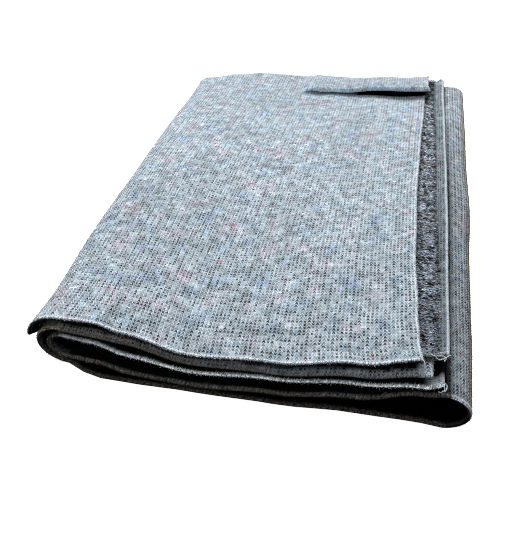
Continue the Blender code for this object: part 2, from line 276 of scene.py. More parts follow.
# ---- the folded section
class Section:
    """The sheet's middle line at one depth, gathered run by run."""

    def __init__(self, depth):
        self.depth = max(depth, 0.0)
        self.parts = []

    def add(self, layer, x, z, near, far):
        x = np.atleast_1d(x)
        filled = [np.broadcast_to(value, x.shape) for value in (z, near, far)]
        self.parts.append((layer, x, *filled))

    def run(self, layer, x):
        z = height(layer, x, self.depth)
        if layer in ("second", "third"):
            z = z - right_step(x, self.depth)
        self.add(layer, x, z, near_edge(layer, x), far_edge(layer, x))

    def turn(self, name, start, end, x, reach, side, count, far_bulge=0.0):
        z_start, z_end = height(start, x, self.depth), height(end, x, self.depth)
        middle, half = (z_start + z_end) / 2, (z_start - z_end) / 2
        share = between(0.0, 1.0, count)
        angle = share * np.pi
        near = mixed(near_edge(start, x), near_edge(end, x), share)
        far = mixed(far_edge(start, x), far_edge(end, x), share) + far_bulge * np.sin(angle)
        self.add(name, x + side * reach * np.sin(angle), middle + half * np.cos(angle), near, far)


def run_places(left, right):
    """Places of a run under TOP: coarse where it is hidden and fine towards its right end."""
    hidden = np.linspace(left, VISIBLE_X, HIDDEN_COLUMNS, endpoint=False)
    return np.concatenate([hidden, np.linspace(VISIBLE_X, right, BAND_COLUMNS)])


def section(depth):
    s = Section(depth)
    depth = s.depth
    left = LEFT_TURN_X
    right = on_line(RIGHT_FOLD, depth)
    top_right = on_line(TOP_EDGE, depth)
    insets = np.array(EDGE_INSET) * MM

    top_places = np.linspace(top_right - insets[-1] - 2 * MM, left, TOP_COLUMNS)
    s.run("top", np.concatenate([top_right - insets, top_places]))

    centre_z = (height("third", left, depth) + CLOTH_THICKNESS / 2) / 2
    bend = np.radians(mixed(DROOP_NEAR, DROOP_FAR, smooth(depth / BUNDLE_DEPTH)))
    arms = {}
    for layer, steps_out in (("top", 2), ("second", 1)):
        arms[layer] = (OUTER_TURN_REACH + steps_out * FOLD_LAYER_STEP, height(layer, left, depth) - centre_z)

    def on_arm(layer, angle):
        reach, rise = arms[layer]
        return left - reach * np.sin(angle), centre_z + rise * np.cos(angle)

    top_near, top_far = near_edge("top", left), far_edge("top", left)
    low_near, low_far = near_edge("second", left), far_edge("second", left)
    angles = np.append(between(0.0, bend, ARM_COLUMNS), bend)
    x, z = on_arm("top", angles)
    s.add("top", x, z, top_near, top_far)
    x_top, z_top = on_arm("top", bend)
    x_low, z_low = on_arm("second", bend)
    out_x, out_z = (x_top - x_low) / 2, (z_top - z_low) / 2
    share = between(0.0, 1.0, TIP_COLUMNS)
    turn = share * np.pi
    s.add(
        "fold",
        (x_top + x_low) / 2 + out_x * np.cos(turn) - out_z * np.sin(turn),
        (z_top + z_low) / 2 + out_z * np.cos(turn) + out_x * np.sin(turn),
        mixed(top_near, low_near, share * FOLD_TIP_SHARE),
        top_far,
    )
    angles = angles[::-1]
    x, z = on_arm("second", angles)
    share = mixed(1.0, FOLD_TIP_SHARE, angles / bend)
    s.add("second", x, z, mixed(top_near, low_near, share), mixed(top_far, low_far, share))

    s.run("second", run_places(left, right))
    half = (height("second", right, depth) - height("third", right, depth)) / 2
    middle = height("third", right, depth) - right_step(right, depth) + half
    angle = between(0.0, np.pi, FOLD_COLUMNS)
    s.add(
        "crease", right + half * np.sin(angle), middle + half * np.cos(angle),
        near_edge("second", right), far_edge("third", right),
    )
    s.run("third", run_places(left, right)[::-1])
    s.turn("outer", "third", "floor", left, OUTER_TURN_REACH, -1, TURN_COLUMNS)
    s.run("floor", np.linspace(left, LOOP_X, FLOOR_COLUMNS))
    loop_reach = on_line(LOOP_REACH, depth)
    s.turn("loop", "floor", "fifth", LOOP_X, loop_reach, 1, TURN_COLUMNS, LOOP_FAR_BULGE)
    s.run("fifth", run_places(left, LOOP_X)[::-1])
    s.turn("inner", "fifth", "fourth", left, INNER_TURN_REACH, -1, TURN_COLUMNS - 4)
    inside = run_places(left, FOURTH_END_X - insets[-1] - 2 * MM)
    s.run("fourth", np.concatenate([inside, FOURTH_END_X - insets[::-1]]))
    return s.parts


# ---- the pleat across TOP
def pleat_line(x, far_y):
    """The pleat's own line across the depth at each x, as rows of (y, lift)."""
    closed = grown(x, PLEAT_OPENING_X, PLEAT_CLOSED_X)
    lap = mixed(PLEAT_SHORT_LAP, PLEAT_LAP, grown(x, PLEAT_CLOSED_X, PLEAT_LAPPED_X))
    gape = grown(x, PLEAT_CLOSED_X, PLEAT_GAPING_X) * np.radians(PLEAT_GAPE)
    turn = np.maximum(np.pi * closed, 0.001)
    radius = PLEAT_RADIUS * np.pi / turn
    turn = turn - gape
    near_turn = on_line(PLEAT_LINE, x)
    start = near_turn + lap * (1 - np.cos(turn)) / 2
    behind = np.interp(x, np.array(MOUTH_X) * MM, np.array(MOUTH_Y) * MM)
    mouth = np.minimum(near_turn + behind, start - PLEAT_LAP / 3 - MOUTH_LEAD)
    lead = [near_turn - PLEAT_LAP, *(mouth + edge for edge in MOUTH_EDGES)]
    lead += [start - PLEAT_LAP / 3, start - PLEAT_LAP / 8]
    points = [(y, np.zeros_like(x)) for y in lead]
    for way in np.linspace(0.0, 1.0, PLEAT_ARC_ROWS):
        points.append((start + radius * np.sin(turn * way), radius * (1 - np.cos(turn * way))))
    y, z = points[-1]
    for share in LAP_SHARES:
        points.append((y + share * lap * np.cos(turn), z + share * lap * np.sin(turn)))
    back_y, back_z = y + lap * np.cos(turn), z + lap * np.sin(turn)
    for way in np.linspace(1.0, 0.0, PLEAT_ARC_ROWS):
        out, up = np.sin(turn) - np.sin(turn * way), np.cos(turn * way) - np.cos(turn)
        points.append((back_y + radius * out, back_z + radius * up))
    end_y, crest = points[-1]
    for way, share in PLEAT_SLOPE:
        points.append((mixed(end_y, far_y, way), crest * share))
    return points


def row_depths():
    """Nominal depths of all rows, in metres, and how many of them come before the pleat's."""
    count = int(round((OPEN_ROWS_END - NEAR_ROWS[-1]) / OPEN_ROW_STEP))
    near = np.concatenate([EDGE_INSET, NEAR_ROWS, np.linspace(NEAR_ROWS[-1], OPEN_ROWS_END, count + 1)[1:]])
    tail = BUNDLE_DEPTH / MM - np.array(EDGE_INSET[::-1])
    far = between(near[-1], tail[0], PLEAT_ROWS - len(tail))
    return np.concatenate([near, far, tail]) * MM, len(near)


# ---- the sheet as a grid
def ripple(x, y, seed, length, count=7):
    """Smooth unevenness from -1 to 1: a few crossed waves around one wave length."""
    waves = np.random.default_rng(seed)
    total = 0.0
    for _ in range(count):
        direction = waves.uniform(0, np.pi)
        scale = 2 * np.pi / (length * waves.uniform(0.7, 1.5))
        phase = waves.uniform(0, 2 * np.pi)
        total = total + np.sin((x * np.cos(direction) + y * np.sin(direction)) * scale + phase)
    return total / np.sqrt(count * 2.0)


def middle_surface():
    """Points of the sheet's middle, as rows by columns by 3, and each column's layer."""
    depths, open_rows = row_depths()
    rows = []
    for number, depth in enumerate(depths):
        line = []
        for layer, x, z, near, far in section(depth):
            y = mixed(near, far, depth / BUNDLE_DEPTH)
            behind = y - near
            if layer == "top":
                z = z - row(TOP_SAG, x) * smooth(1 - behind / TOP_SAG_DEPTH)
                if number >= open_rows:
                    pleat_y, lift = pleat_line(x, far)[number - open_rows]
                    shift = (pleat_y - y) * grown(x, PLEAT_FLAT_X, PLEAT_OPENING_X)
                    real = depth + shift / (far - near) * BUNDLE_DEPTH
                    z = z + lift + height("top", x, real) - height("top", x, depth)
                    y = y + shift
                    skew = np.interp(number - open_rows, SKEW_ROWS, SKEWS) * MM
                    x = x + skew * grown(x, PLEAT_GAPING_X, PLEAT_SKEW_X)
            if layer == "third":
                z = z - row(THIRD_LIP, x) * smooth(1 - behind / THIRD_LIP_DEPTH)
                x = x + corner_lean(x, y)
            line.append(np.stack([x + left_sway(x, y) - ORIGIN_X, y - ORIGIN_Y, z], axis=1))
        rows.append(np.concatenate(line))
    layers = np.concatenate([[part[0]] * len(part[1]) for part in section(0.0)])
    return np.array(rows), layers, open_rows


def grid_normals(points):
    return unit(np.cross(np.gradient(points, axis=0), np.gradient(points, axis=1)))


def cloth_coordinates(points):
    """Distance along the section from TOP's free edge, and from the near edge, on the cloth itself."""
    across = np.linalg.norm(np.diff(points, axis=1), axis=2).mean(axis=0)
    back = np.linalg.norm(np.diff(points, axis=0), axis=2)
    v = np.pad(np.cumsum(back, axis=0), ((1, 0), (0, 0)))
    return np.broadcast_to(np.pad(np.cumsum(across), (1, 0)), v.shape), v


middle, column_layer, open_rows = middle_surface()
normals = grid_normals(middle)
cloth_u, cloth_v = cloth_coordinates(middle)
end_distance = np.minimum(cloth_v, cloth_v[-1] - cloth_v)  # from the nearer open end
free_distance = np.minimum(cloth_u, cloth_u[0, -1] - cloth_u)  # from the nearer free edge
real_x = middle[:, :, 0] + ORIGIN_X
real_depth = middle[:, :, 1] + ORIGIN_Y


# ---- the felt as a closed shell
FACE_ROUNDING = 1.75 * MM  # the cut edges are rounded over this much
EDGE_FLATNESS = 0.2
PILL_SIZE = 9 * MM
PILL_HEIGHT = 0.10 * MM
SIDES = {"face": 1.0, "reverse": -1.0}


def side_points(side):
    """Points on one side of the cloth. The face is TOP's upper side."""
    share = np.clip(np.minimum(end_distance, free_distance) / FACE_ROUNDING, 0.0, 1.0)
    rounded = np.sqrt(1 - (1 - share) ** 2)
    uneven = PILL_HEIGHT * (ripple(cloth_u, cloth_v, 5, PILL_SIZE) - 1)
    half = CLOTH_THICKNESS / 2 * np.maximum(rounded, EDGE_FLATNESS) + uneven * rounded
    points = middle + SIDES[side] * normals * half[:, :, None]
    points[:, :, 2] = np.maximum(points[:, :, 2], 0.0)
    return points


def placed(name, data):
    """A new object in the scene."""
    made = bpy.data.objects.new(name, data)
    bpy.context.scene.collection.objects.link(made)
    return made


def mesh_piece(name, points, faces, material):
    mesh = bpy.data.meshes.new(name)
    mesh.from_pydata(points, [], faces)
    mesh.materials.append(material)
    return placed(name, mesh)


def cloth_piece(name, points, faces, places, looks, material):
    """A smooth piece. A UV map holds each point's place on the cloth, and a colour attribute its looks, with
    their painted light and shade.
    """
    made = mesh_piece(name, points.tolist(), faces, material)
    mesh = made.data
    corners = np.zeros(len(mesh.loops), np.int32)
    mesh.loops.foreach_get("vertex_index", corners)
    mesh.uv_layers.new(name="cloth").data.foreach_set("uv", places[corners].astype(np.float32).ravel())
    colours = np.zeros((len(looks), 4), np.float32)
    colours[:, :looks.shape[1]] = looks
    mesh.attributes.new("looks_with_painted_light", "FLOAT_COLOR", "POINT").data.foreach_set("color", colours.ravel())
    mesh.shade_smooth()
    return made


def felt_piece(material):
    """The sheet's two sides, with faces that join them all round its cut edges."""
    index = np.arange(cloth_u.size).reshape(cloth_u.shape)
    quads = np.stack([index[:-1, :-1], index[:-1, 1:], index[1:, 1:], index[1:, :-1]], axis=2).reshape(-1, 4)
    ring = np.concatenate([index[0, :-1], index[:-1, -1], index[-1, :0:-1], index[:0:-1, 0]])
    following = np.roll(ring, -1)
    rim = np.stack([ring, ring + index.size, following + index.size, following], axis=1)
    faces = np.concatenate([quads[:, ::-1], quads + index.size, rim]).tolist()
    points = np.concatenate([side_points(side).reshape(-1, 3) for side in SIDES])
    looks = np.concatenate([looks_with_painted_light(side).reshape(-1, 4) for side in SIDES])
    places = np.tile(np.stack([cloth_u, cloth_v], axis=2).reshape(-1, 2), (2, 1))
    return cloth_piece("blanket_felt", points, faces, places, looks, material)


# ---- how light, brown and stitched the cloth is, with painted light and shade
# Each layer's looks. Of its face, then of its reverse: tone, warmth and how clear the stitches are. Of its
# cut near edge: the tone beside the face and beside the reverse, the warmth, and the overlocking yarn's tone.
# The tones are partly the felt's own colour, its reverse being darker, and partly painted shade: sides that
# face into the bundle, the cut edges' end faces and their yarn are darkened. Some edges and their yarn, such
# as FOURTH's, are lightened as painted light.
LOOKS = {
    "top": ((1.03, 0.0, 1.0), (0.20, 0.5, 0.2), (0.04, 0.02, 0.0, 0.9)),
    "fold": ((0.40, 0.7, 0.4), (0.20, 0.5, 0.2), (0.2, 0.05, 0.5, 0.4)),
    "second": ((0.20, 0.5, 0.3), (0.60, 0.0, 0.0), (0.2, 0.9, 0.1, 1.0)),
    "crease": ((0.20, 0.5, 0.3), (0.80, 0.0, 0.9), (0.5, 0.7, 0.1, 0.9)),
    "third": ((0.78, 0.6, 1.5), (0.20, 0.5, 0.2), (0.5, 0.10, 0.7, 0.7)),
    "outer": ((0.50, 0.8, 0.5), (0.20, 0.7, 0.2), (1.4, 0.7, 1.0, 1.3)),
    "floor": ((0.25, 0.8, 0.4), (0.15, 0.8, 0.2), (0.04, 1.0, 1.0, 0.22)),
    "loop": ((0.83, 0.1, 1.4), (0.12, 0.8, 0.2), (0.9, 0.5, 0.0, 0.8)),
    "fifth": ((0.83, 0.0, 1.4), (0.12, 0.8, 0.2), (0.35, 0.2, 0.9, 0.35)),
    "inner": ((0.25, 0.6, 0.3), (0.25, 0.7, 0.2), (0.5, 1.5, 0.8, 0.9)),
    "fourth": ((0.25, 0.6, 0.3), (0.80, 0.2, 0.5), (0.6, 2.4, 0.06, 2.2)),
}
NEAR_TONE_REACH = 1.7 * MM
NEAR_WARMTH_REACH = 7 * MM
RIM_REACH = (1.4 * MM, 4.6 * MM)  # from the edge to where the light rim starts to fade, and to where it ends
FREE_RIM_REACH = (0.8 * MM, 3.6 * MM)
FREE_RIM_SHARE = 0.6
RIM_SHARE = {"third": 0.35, "outer": 0.85, "fifth": 0.5}
BAND_WIDTH = 3 * MM  # over which the strip passes into the stepped band beside it
BAND_DIMNESS = 0.06
# Painted highlight: the light rim along the right fold, where it faces upward.
FOLD_PAINTED_HIGHLIGHT = 0.62
FOLD_TURN = (0.0, -0.5)  # upward part of the outward direction, from where the rim starts to where it is full
# Painted shade on the loop's flank: darker and browner where it faces sideways.
FLANK_TURN = (0.88, 0.50)
FLANK_TONE = 0.72
FLANK_WARMTH = 1.0
# Painted light and shade on the near edge: along the loop by which way it faces, and along FOURTH dimmer at
# its left.
LOOP_TURN = (-0.4, 0.4)
LOOP_LOW = 0.25
LOOP_HIGH = 1.6
FOURTH_LEFT = 0.5
FOURTH_LIGHT_X = (-150 * MM, -70 * MM)
THIRD_COOLING = 0.8  # how much less brown THIRD is at the right than at the left
THIRD_COOLING_X = (-100 * MM, 20 * MM)
EDGE_SHADOW = 0.55  # painted shadow beside TOP's free edge, on the strip below it
EDGE_SHADOW_WIDTH = 6 * MM
# Painted shadow at the step.
STEP_SHADOW = 0.5
STEP_SHADOW_WIDTH = 3 * MM
FAR_CORNER_SHADE = 0.55  # painted shade beside the pleat's right end
FAR_CORNER_DEPTH = (495 * MM, 512 * MM)
SHADE_X = (-42, 5, 30, 48)
SHADE_ROW = (11.0, 9.5, 5.0, 2.0)  # the first of the pleat's rows that is in its painted shade
ROLL_PAINTED_LIGHT = 0.8  # painted light on the pleat's rounded front
CREASE_PAINTED_LIGHT = 0.4  # and as much more painted light at its left end
ROLL_FADE = 0.35  # how much weaker the stitches are on it
# Painted shade at the near end, which faces away from the light: TOP, and LOOP, FIFTH and SECOND, darker
# towards it. TOP is also darker towards its far end.
FAR_DIMNESS = 0.16
TOP_NEAR_DIMNESS = 0.08
NEAR_DIMNESS = 0.25
FAR_FADE = 0.3
# Painted shade inside the bundle: each side of a layer keeps its tone this far in from the open ends, in mm,
# and is darkened towards DEEP_TONE further in.
OPEN_AIR = (1000, 1001)
PLAIN_REACH = (1.5, 5)
LIT_REACH = {
    "face": {"third": (5.0, 8.0), "fifth": (2, 4.5), "inner": (4, 10)},
    "reverse": {"fourth": (1.6, 3.2), "outer": (3, 8), "inner": (3, 8)},
}
LIT_LAYERS = {"face": ("top", "fold", "outer", "floor", "loop"), "reverse": ("second", "crease")}
DEEP_TONE = 0.02
# Painted shade: left of these x the layers above cover it, and it is darkened inwards from the open ends.
# Right of them it is open, or keeps its tone as far in as CORNER_REACH says. FIFTH's border also paints the
# right fold's shadow on it.
COVERED_X = {"third": (145, 150), "fourth": (153, 160), "fifth": (174.5, 181)}
COVERED_EVERYWHERE = (400, 401)
CORNER_REACH = {"third": (15, 19), "fourth": (9, 13)}
FAR_COVER_SHIFT = 5.0  # how much further left, in mm, this border lies at the far end
FAR_COVER_DEPTH = 260 * MM
RAGGED_SIZE = 7 * MM
RAGGED_SHARE = 0.22

looks_there = [LOOKS[name] for name in column_layer]
surface_look = {side: np.array([look[number] for look in looks_there]) for number, side in enumerate(SIDES)}
*two_tones, edge_warmth, yarn_tone = np.array([look[2] for look in looks_there]).T
edge_tones = dict(zip(SIDES, two_tones))


def by_layer(table, otherwise):
    """A table's values at every column."""
    return np.array([table.get(name, otherwise) for name in column_layer])


def in_layers(*names):
    return np.isin(column_layer, names)


def painted_shade_factor(side):
    """Painted shade: how much of its tone each point keeps, from 1 in the open to DEEP_TONE inside the
    bundle.
    """
    inward = end_distance / MM * (1 + RAGGED_SHARE * ripple(cloth_u, cloth_v, 11, RAGGED_SIZE))
    reach = by_layer({**dict.fromkeys(LIT_LAYERS[side], OPEN_AIR), **LIT_REACH[side]}, PLAIN_REACH)
    deep = grown(inward, *reach.T)
    deep_corner = grown(inward, *by_layer(CORNER_REACH, OPEN_AIR).T)
    x = real_x / MM + FAR_COVER_SHIFT * grown(real_depth, FAR_COVER_DEPTH, 2 * FAR_COVER_DEPTH)
    covered = 1 - grown(x, *by_layer(COVERED_X, COVERED_EVERYWHERE).T)
    return 1 - (deep * covered + deep_corner * (1 - covered)) * (1 - DEEP_TONE)


def light_rim():
    """The overlocking's light rim: wide at the open ends, narrow at the free edges."""
    at_ends = np.interp(end_distance, RIM_REACH, (1.0, 0.0))
    at_free = np.interp(free_distance, FREE_RIM_REACH, (1.0, 0.0))
    return np.maximum(at_ends, np.minimum(at_free, FREE_RIM_SHARE)) * by_layer(RIM_SHARE, 1.0)


def pleat_painted_light_and_shade():
    """The tone of the pleat: painted shade under its lap, and painted light on its rounded front."""
    closed = grown(real_x, PLEAT_OPENING_X, PLEAT_CLOSED_X) * in_layers("top")
    number = np.arange(len(cloth_v))[:, None] - open_rows
    first = np.interp(real_x, np.array(SHADE_X) * MM, SHADE_ROW)
    turned = PLEAT_LEAD_ROWS + PLEAT_ARC_ROWS + len(LAP_SHARES)
    shaded = smooth(number - first + 1) * (number < turned)
    rise = np.clip((CREST_ROW - 1 - number) / 3, 0, 1) * (number >= turned)
    roll = ROLL_PAINTED_LIGHT + CREASE_PAINTED_LIGHT * (1 - grown(real_x, PLEAT_CLOSED_X, PLEAT_LAPPED_X))
    return 1 + closed * (roll * rise - shaded)


def edge_painted_light_and_shade(x, upward, layers):
    """Painted light and shade on the near edge: along the loop dark at its bottom and light at its top, and
    along FOURTH dimmer at its left.
    """
    loop = mixed(LOOP_LOW, LOOP_HIGH, grown(upward, *LOOP_TURN))
    fourth = mixed(FOURTH_LEFT, 1.0, grown(x, *FOURTH_LIGHT_X))
    return np.where(layers == "loop", loop, np.where(layers == "fourth", fourth, 1.0))


def strip_painted_shadow(step):
    """The painted shadows on the bare strip: beside TOP's free edge, at the step and in the far corner."""
    top_edge = on_line(TOP_EDGE, real_depth)
    beside = 1 - grown(real_x, top_edge, top_edge + EDGE_SHADOW_WIDTH)
    at_step = np.clip(1 - np.abs(real_x - step) / STEP_SHADOW_WIDTH, 0, 1)
    corner = grown(real_depth, *FAR_CORNER_DEPTH) * (1 - grown(real_x, step, step + BAND_WIDTH))
    return (1 - EDGE_SHADOW * beside) * (1 - STEP_SHADOW * at_step) * (1 - FAR_CORNER_SHADE * corner)


def looks_with_painted_light(side):
    """Four values at each point of one side: tone, warmth, stitching and light rim. The tone holds painted
    light and shade, and the rim a painted highlight on the right fold.
    """
    shape = (3, *cloth_u.shape)
    tone, warmth, stitching = np.broadcast_to(surface_look[side].T[:, None], shape).copy()
    rim = light_rim()
    back = smooth(real_depth / BUNDLE_DEPTH)
    if side == "face":
        # Painted shade: the loop darker and browner where it faces sideways.
        sideways = grown(normals[:, :, 2], *FLANK_TURN) * in_layers("loop")
        tone *= 1 - sideways * (1 - FLANK_TONE)
        warmth += sideways * (FLANK_WARMTH - warmth)
        stitching *= 1 - in_layers("top") * FAR_FADE * back
        on_roll = (np.arange(len(cloth_v)) >= open_rows + MOUTH_ROW)[:, None]
        stitching *= 1 - ROLL_FADE * grown(real_x, PLEAT_OPENING_X, PLEAT_CLOSED_X) * on_roll
        # Painted shade: TOP darker towards its near end. It is also darker towards its far end.
        dimness = FAR_DIMNESS * back + TOP_NEAR_DIMNESS * smooth(1 - 2 * back)
        # Painted shade under the pleat's lap and painted light on its rounded front. The painted shade dims
        # the rim there too.
        tone *= pleat_painted_light_and_shade() * (1 - in_layers("top") * dimness)
        rim *= np.minimum(pleat_painted_light_and_shade(), 1.0)
    else:
        step = on_line(STEP, real_depth)
        band = in_layers("second") * grown(real_x, step, step + BAND_WIDTH)
        tone -= band * BAND_DIMNESS
        stitching += band
        # Painted shadows on the bare strip.
        tone *= 1 - in_layers("second") * (1 - strip_painted_shadow(step))
        # Painted highlight on the right fold where it faces upward.
        rim = np.maximum(rim, in_layers("crease") * grown(normals[:, :, 2], *FOLD_TURN) * FOLD_PAINTED_HIGHLIGHT)
        rim *= 1 - (np.arange(len(cloth_v)) > open_rows)[:, None] * in_layers("top")
    # Painted shade: LOOP, FIFTH and SECOND darker towards the near end.
    tone *= 1 - in_layers("loop", "fifth", "second") * NEAR_DIMNESS * (1 - back)
    # Painted shade on the cut near edges, from the LOOKS edge tones, with the near edge's painted light and
    # shade.
    edge_tone = edge_tones[side] * edge_painted_light_and_shade(real_x, normals[:, :, 2], column_layer)
    at_edge = 1 - smooth(1 - cloth_v / NEAR_TONE_REACH) * (1 - edge_tone)
    warmth += smooth(1 - cloth_v / NEAR_WARMTH_REACH) * (edge_warmth - warmth)
    warmth *= 1 - THIRD_COOLING * grown(real_x, *THIRD_COOLING_X) * in_layers("third")
    return np.stack([tone * at_edge * painted_shade_factor(side), warmth, stitching, rim * at_edge], axis=2)


# ---- yarns laid on the cloth
class Patch:
    """One side of a stretch of columns, read at any place on the cloth, with its painted light and shade."""

    def __init__(self, side, *layers):
        columns = np.flatnonzero(in_layers(*layers))
        self.u = cloth_u[0, columns]
        self.v = cloth_v[:, columns]
        tables = [side_points(side), SIDES[side] * normals, looks_with_painted_light(side)[:, :, :3]]
        self.table = np.concatenate(tables, axis=2)[:, columns]

    def at(self, u, v):
        """Points, normals and looks at places on the cloth, all arrays of one length."""
        j = np.interp(u, self.u, np.arange(len(self.u)))
        first = np.minimum(j.astype(int), len(self.u) - 2)
        total = np.zeros((len(u), 9))
        for column, weight in ((first, 1 - (j - first)), (first + 1, j - first)):
            i = np.empty(len(u))
            for value in np.unique(column):
                here = column == value
                i[here] = np.interp(v[here], self.v[:, value], np.arange(len(self.v)))
            row_number = np.minimum(i.astype(int), len(self.v) - 2)
            low = (i - row_number)[:, None]
            read = mixed(self.table[row_number, column], self.table[row_number + 1, column], low)
            total += weight[:, None] * read
        point, normal, look = np.split(total, 3, axis=1)
        return point, unit(normal), look


def laid(patch, stations):
    """Paths over the cloth through stations of (u, v, lift), with their normals, places and looks."""
    parts = []
    for u, v, lift in stations:
        point, normal, look = patch.at(u, v)
        parts.append((point + normal * lift[:, None], normal, np.stack([u, v], axis=1), look))
    return [np.stack(part, axis=1) for part in zip(*parts)]


def tubes(paths, ups, places, looks, radius, flat=1.0, sides=3):
    """Closed tubes along many paths of equal length: their points, faces, places on the cloth and looks."""
    count, steps, _ = paths.shape
    along_path = unit(np.gradient(paths, axis=1))
    out = unit(np.cross(along_path, ups))
    up = np.cross(out, along_path)
    radius = np.broadcast_to(radius, (count, steps))[:, :, None]
    angles = np.pi / 2 + 2 * np.pi * np.arange(sides) / sides
    ring = [paths + radius * (np.cos(angle) * out + flat * np.sin(angle) * up) for angle in angles]
    index = np.arange(count * steps * sides).reshape(count, steps, sides)
    following = np.roll(index, -1, axis=2)
    quads = np.stack([index[:, :-1], index[:, 1:], following[:, 1:], following[:, :-1]], axis=-1)
    faces = quads.reshape(-1, 4).tolist() + index[:, 0].tolist() + index[:, -1, ::-1].tolist()
    places = np.repeat(np.broadcast_to(places, (count, steps, 2)).reshape(-1, 2), sides, axis=0)
    looks = np.repeat(np.broadcast_to(looks, (count, steps, 3)).reshape(-1, 3), sides, axis=0)
    return np.stack(ring, axis=2).reshape(-1, 3), faces, places, looks


def yarn_piece(name, batches, material):
    """One joined mesh of several batches of tubes."""
    joined, start = [], 0
    for points, faces, _, _ in batches:
        joined += [[corner + start for corner in face] for face in faces]
        start += len(points)
    points, _, places, looks = zip(*batches)
    points, places, looks = map(np.concatenate, (points, places, looks))
    return cloth_piece(name, points, joined, places, looks, material)


STITCH_PITCH = 7.14 * MM  # between the columns of needle holes
STITCH_LENGTH = 3.6 * MM
STITCH_RISE = 1.5  # of a leg between its two holes, in stitches
LEG_STATIONS = ((0.15, 0.0), (0.5, 1.0), (0.85, 0.0))  # shares of the way and of the lift
LEG_MARGIN = 2.2 * MM
LEG_BOW = 0.25 * MM
LEG_WANDER = 0.12 * MM
YARN_RADIUS = 0.36 * MM
YARN_SINK = 0.35 * MM


def stitch_legs(patch, u_from, u_to):
    """The slanting legs of the stitches: from each hole down to the half-way holes on either side."""
    first, last = int(np.ceil(u_from / STITCH_PITCH)), int(np.floor(u_to / STITCH_PITCH))
    courses = int(patch.v[-1].max() / STITCH_LENGTH) + 2
    grid = np.meshgrid(np.arange(first, last + 1), np.arange(courses), (-0.5, 0.5), indexing="ij")
    column, course, hand = (part.ravel() for part in grid)
    size = len(column)
    bow = rng.normal(0, LEG_BOW, size)
    lift = YARN_RADIUS * rng.uniform(0.1, 0.9, size)
    keep = np.ones(size, bool)
    stations = []
    for way, raised in LEG_STATIONS:
        u = (column + hand * way) * STITCH_PITCH + rng.normal(0, LEG_WANDER, size)
        v = (course + 0.5 - STITCH_RISE * way) * STITCH_LENGTH + raised * bow
        v = v + rng.normal(0, LEG_WANDER, size)
        end_v = np.interp(u, patch.u, patch.v[-1])
        keep &= (v > LEG_MARGIN) & (v < end_v - LEG_MARGIN) & (u > u_from) & (u < u_to)
        stations.append((u, v, raised * lift - (1 - raised) * YARN_SINK))
    radius = YARN_RADIUS * rng.uniform(0.75, 1.2, (size, 1))
    kept = [[part[keep] for part in station] for station in stations]
    return tubes(*laid(patch, kept), radius[keep], flat=0.7)


STROKE_ROW = 1.8 * MM
STROKE_STEP = 2.3 * MM
STROKE_LENGTH = 3.4 * MM
STROKE_STATIONS = ((-0.5, 0.0), (0.0, 1.0), (0.5, 0.0))
STROKE_RADIUS = 0.42 * MM
STROKE_MARGIN = 3 * MM
STROKE_WANDER = 0.5 * MM
STROKE_SLANT = 0.22
STROKE_TONE = 1.1
STROKE_CONTRAST = 0.85
STROKE_TONES = (0.02, 3.2)
STROKE_CLUMPS = ((31, 7 * MM), (32, 17 * MM))  # seeds and wave lengths of their light and dark patches
STROKE_CLUMPING = 0.77
STROKE_WARMTH = 0.9
STRIP_REACH = 45 * MM
STRIP_MARGINS = (4 * MM, 1 * MM)  # how far the strokes go below TOP's edge and past the step


def fuzzy_strokes(patch):
    """Short floats of yarn and fibre, from black to near white, across the bare strip of the fuzzy side."""
    rows = np.arange(STROKE_MARGIN, patch.v[-1].min() - STROKE_MARGIN, STROKE_ROW)
    columns = np.arange(patch.u[-1] - STRIP_REACH, patch.u[-1] - 2 * MM, STROKE_STEP)
    v, u = (part.ravel() for part in np.meshgrid(rows, columns, indexing="ij"))
    u = u + rng.uniform(-1, 1, len(u)) * STROKE_STEP
    v = v + rng.normal(0, STROKE_WANDER, len(v))
    x = np.interp(u, patch.u, patch.table[len(patch.v) // 2, :, 0] + ORIGIN_X)
    y = v + NEAR_EDGE["second"][-1] * MM
    left, right = on_line(TOP_EDGE, y), on_line(STEP, y)
    bare = (x > left - STRIP_MARGINS[0]) & (x < right + STRIP_MARGINS[1])
    u, v = u[bare], v[bare]
    count = len(u)
    length = STROKE_LENGTH * rng.uniform(0.4, 1.6, count)
    slant = rng.normal(0, STROKE_SLANT, count)
    clump = STROKE_CLUMPING * sum(ripple(u, v, seed, size) for seed, size in STROKE_CLUMPS)
    tone = np.clip(STROKE_TONE + clump + rng.normal(0, STROKE_CONTRAST, count), *STROKE_TONES)
    rise = rng.uniform(0.2, 1.0, count) * MM
    stations = []
    for way, raised in STROKE_STATIONS:
        at_u = np.clip(u + way * length, patch.u[0], patch.u[-1])
        stations.append((at_u, v + way * length * slant, raised * rise - (1 - raised) * STROKE_RADIUS * 0.8))
    paths, ups, places, looks = laid(patch, stations)
    looks[:, :, 0] *= tone[:, None]
    looks[:, :, 1] = STROKE_WARMTH * smooth(ripple(u, v, 33, 14 * MM))[:, None]
    radius = STROKE_RADIUS * rng.uniform(0.5, 1.3, (count, 1)) * np.array([0.8, 1.0, 0.8])
    return tubes(paths, ups, places, looks, radius, flat=0.7)


CURL_COUNT = 330
CURL_STEPS = 8
CURL_REACH = (1.2, 3.6)  # radius of a curl's arc, in mm
CURL_SWEEP = (1.6, 4.6)  # and its length, in radians
CURL_RADIUS = 0.36 * MM
CURL_MARGIN = 8 * MM


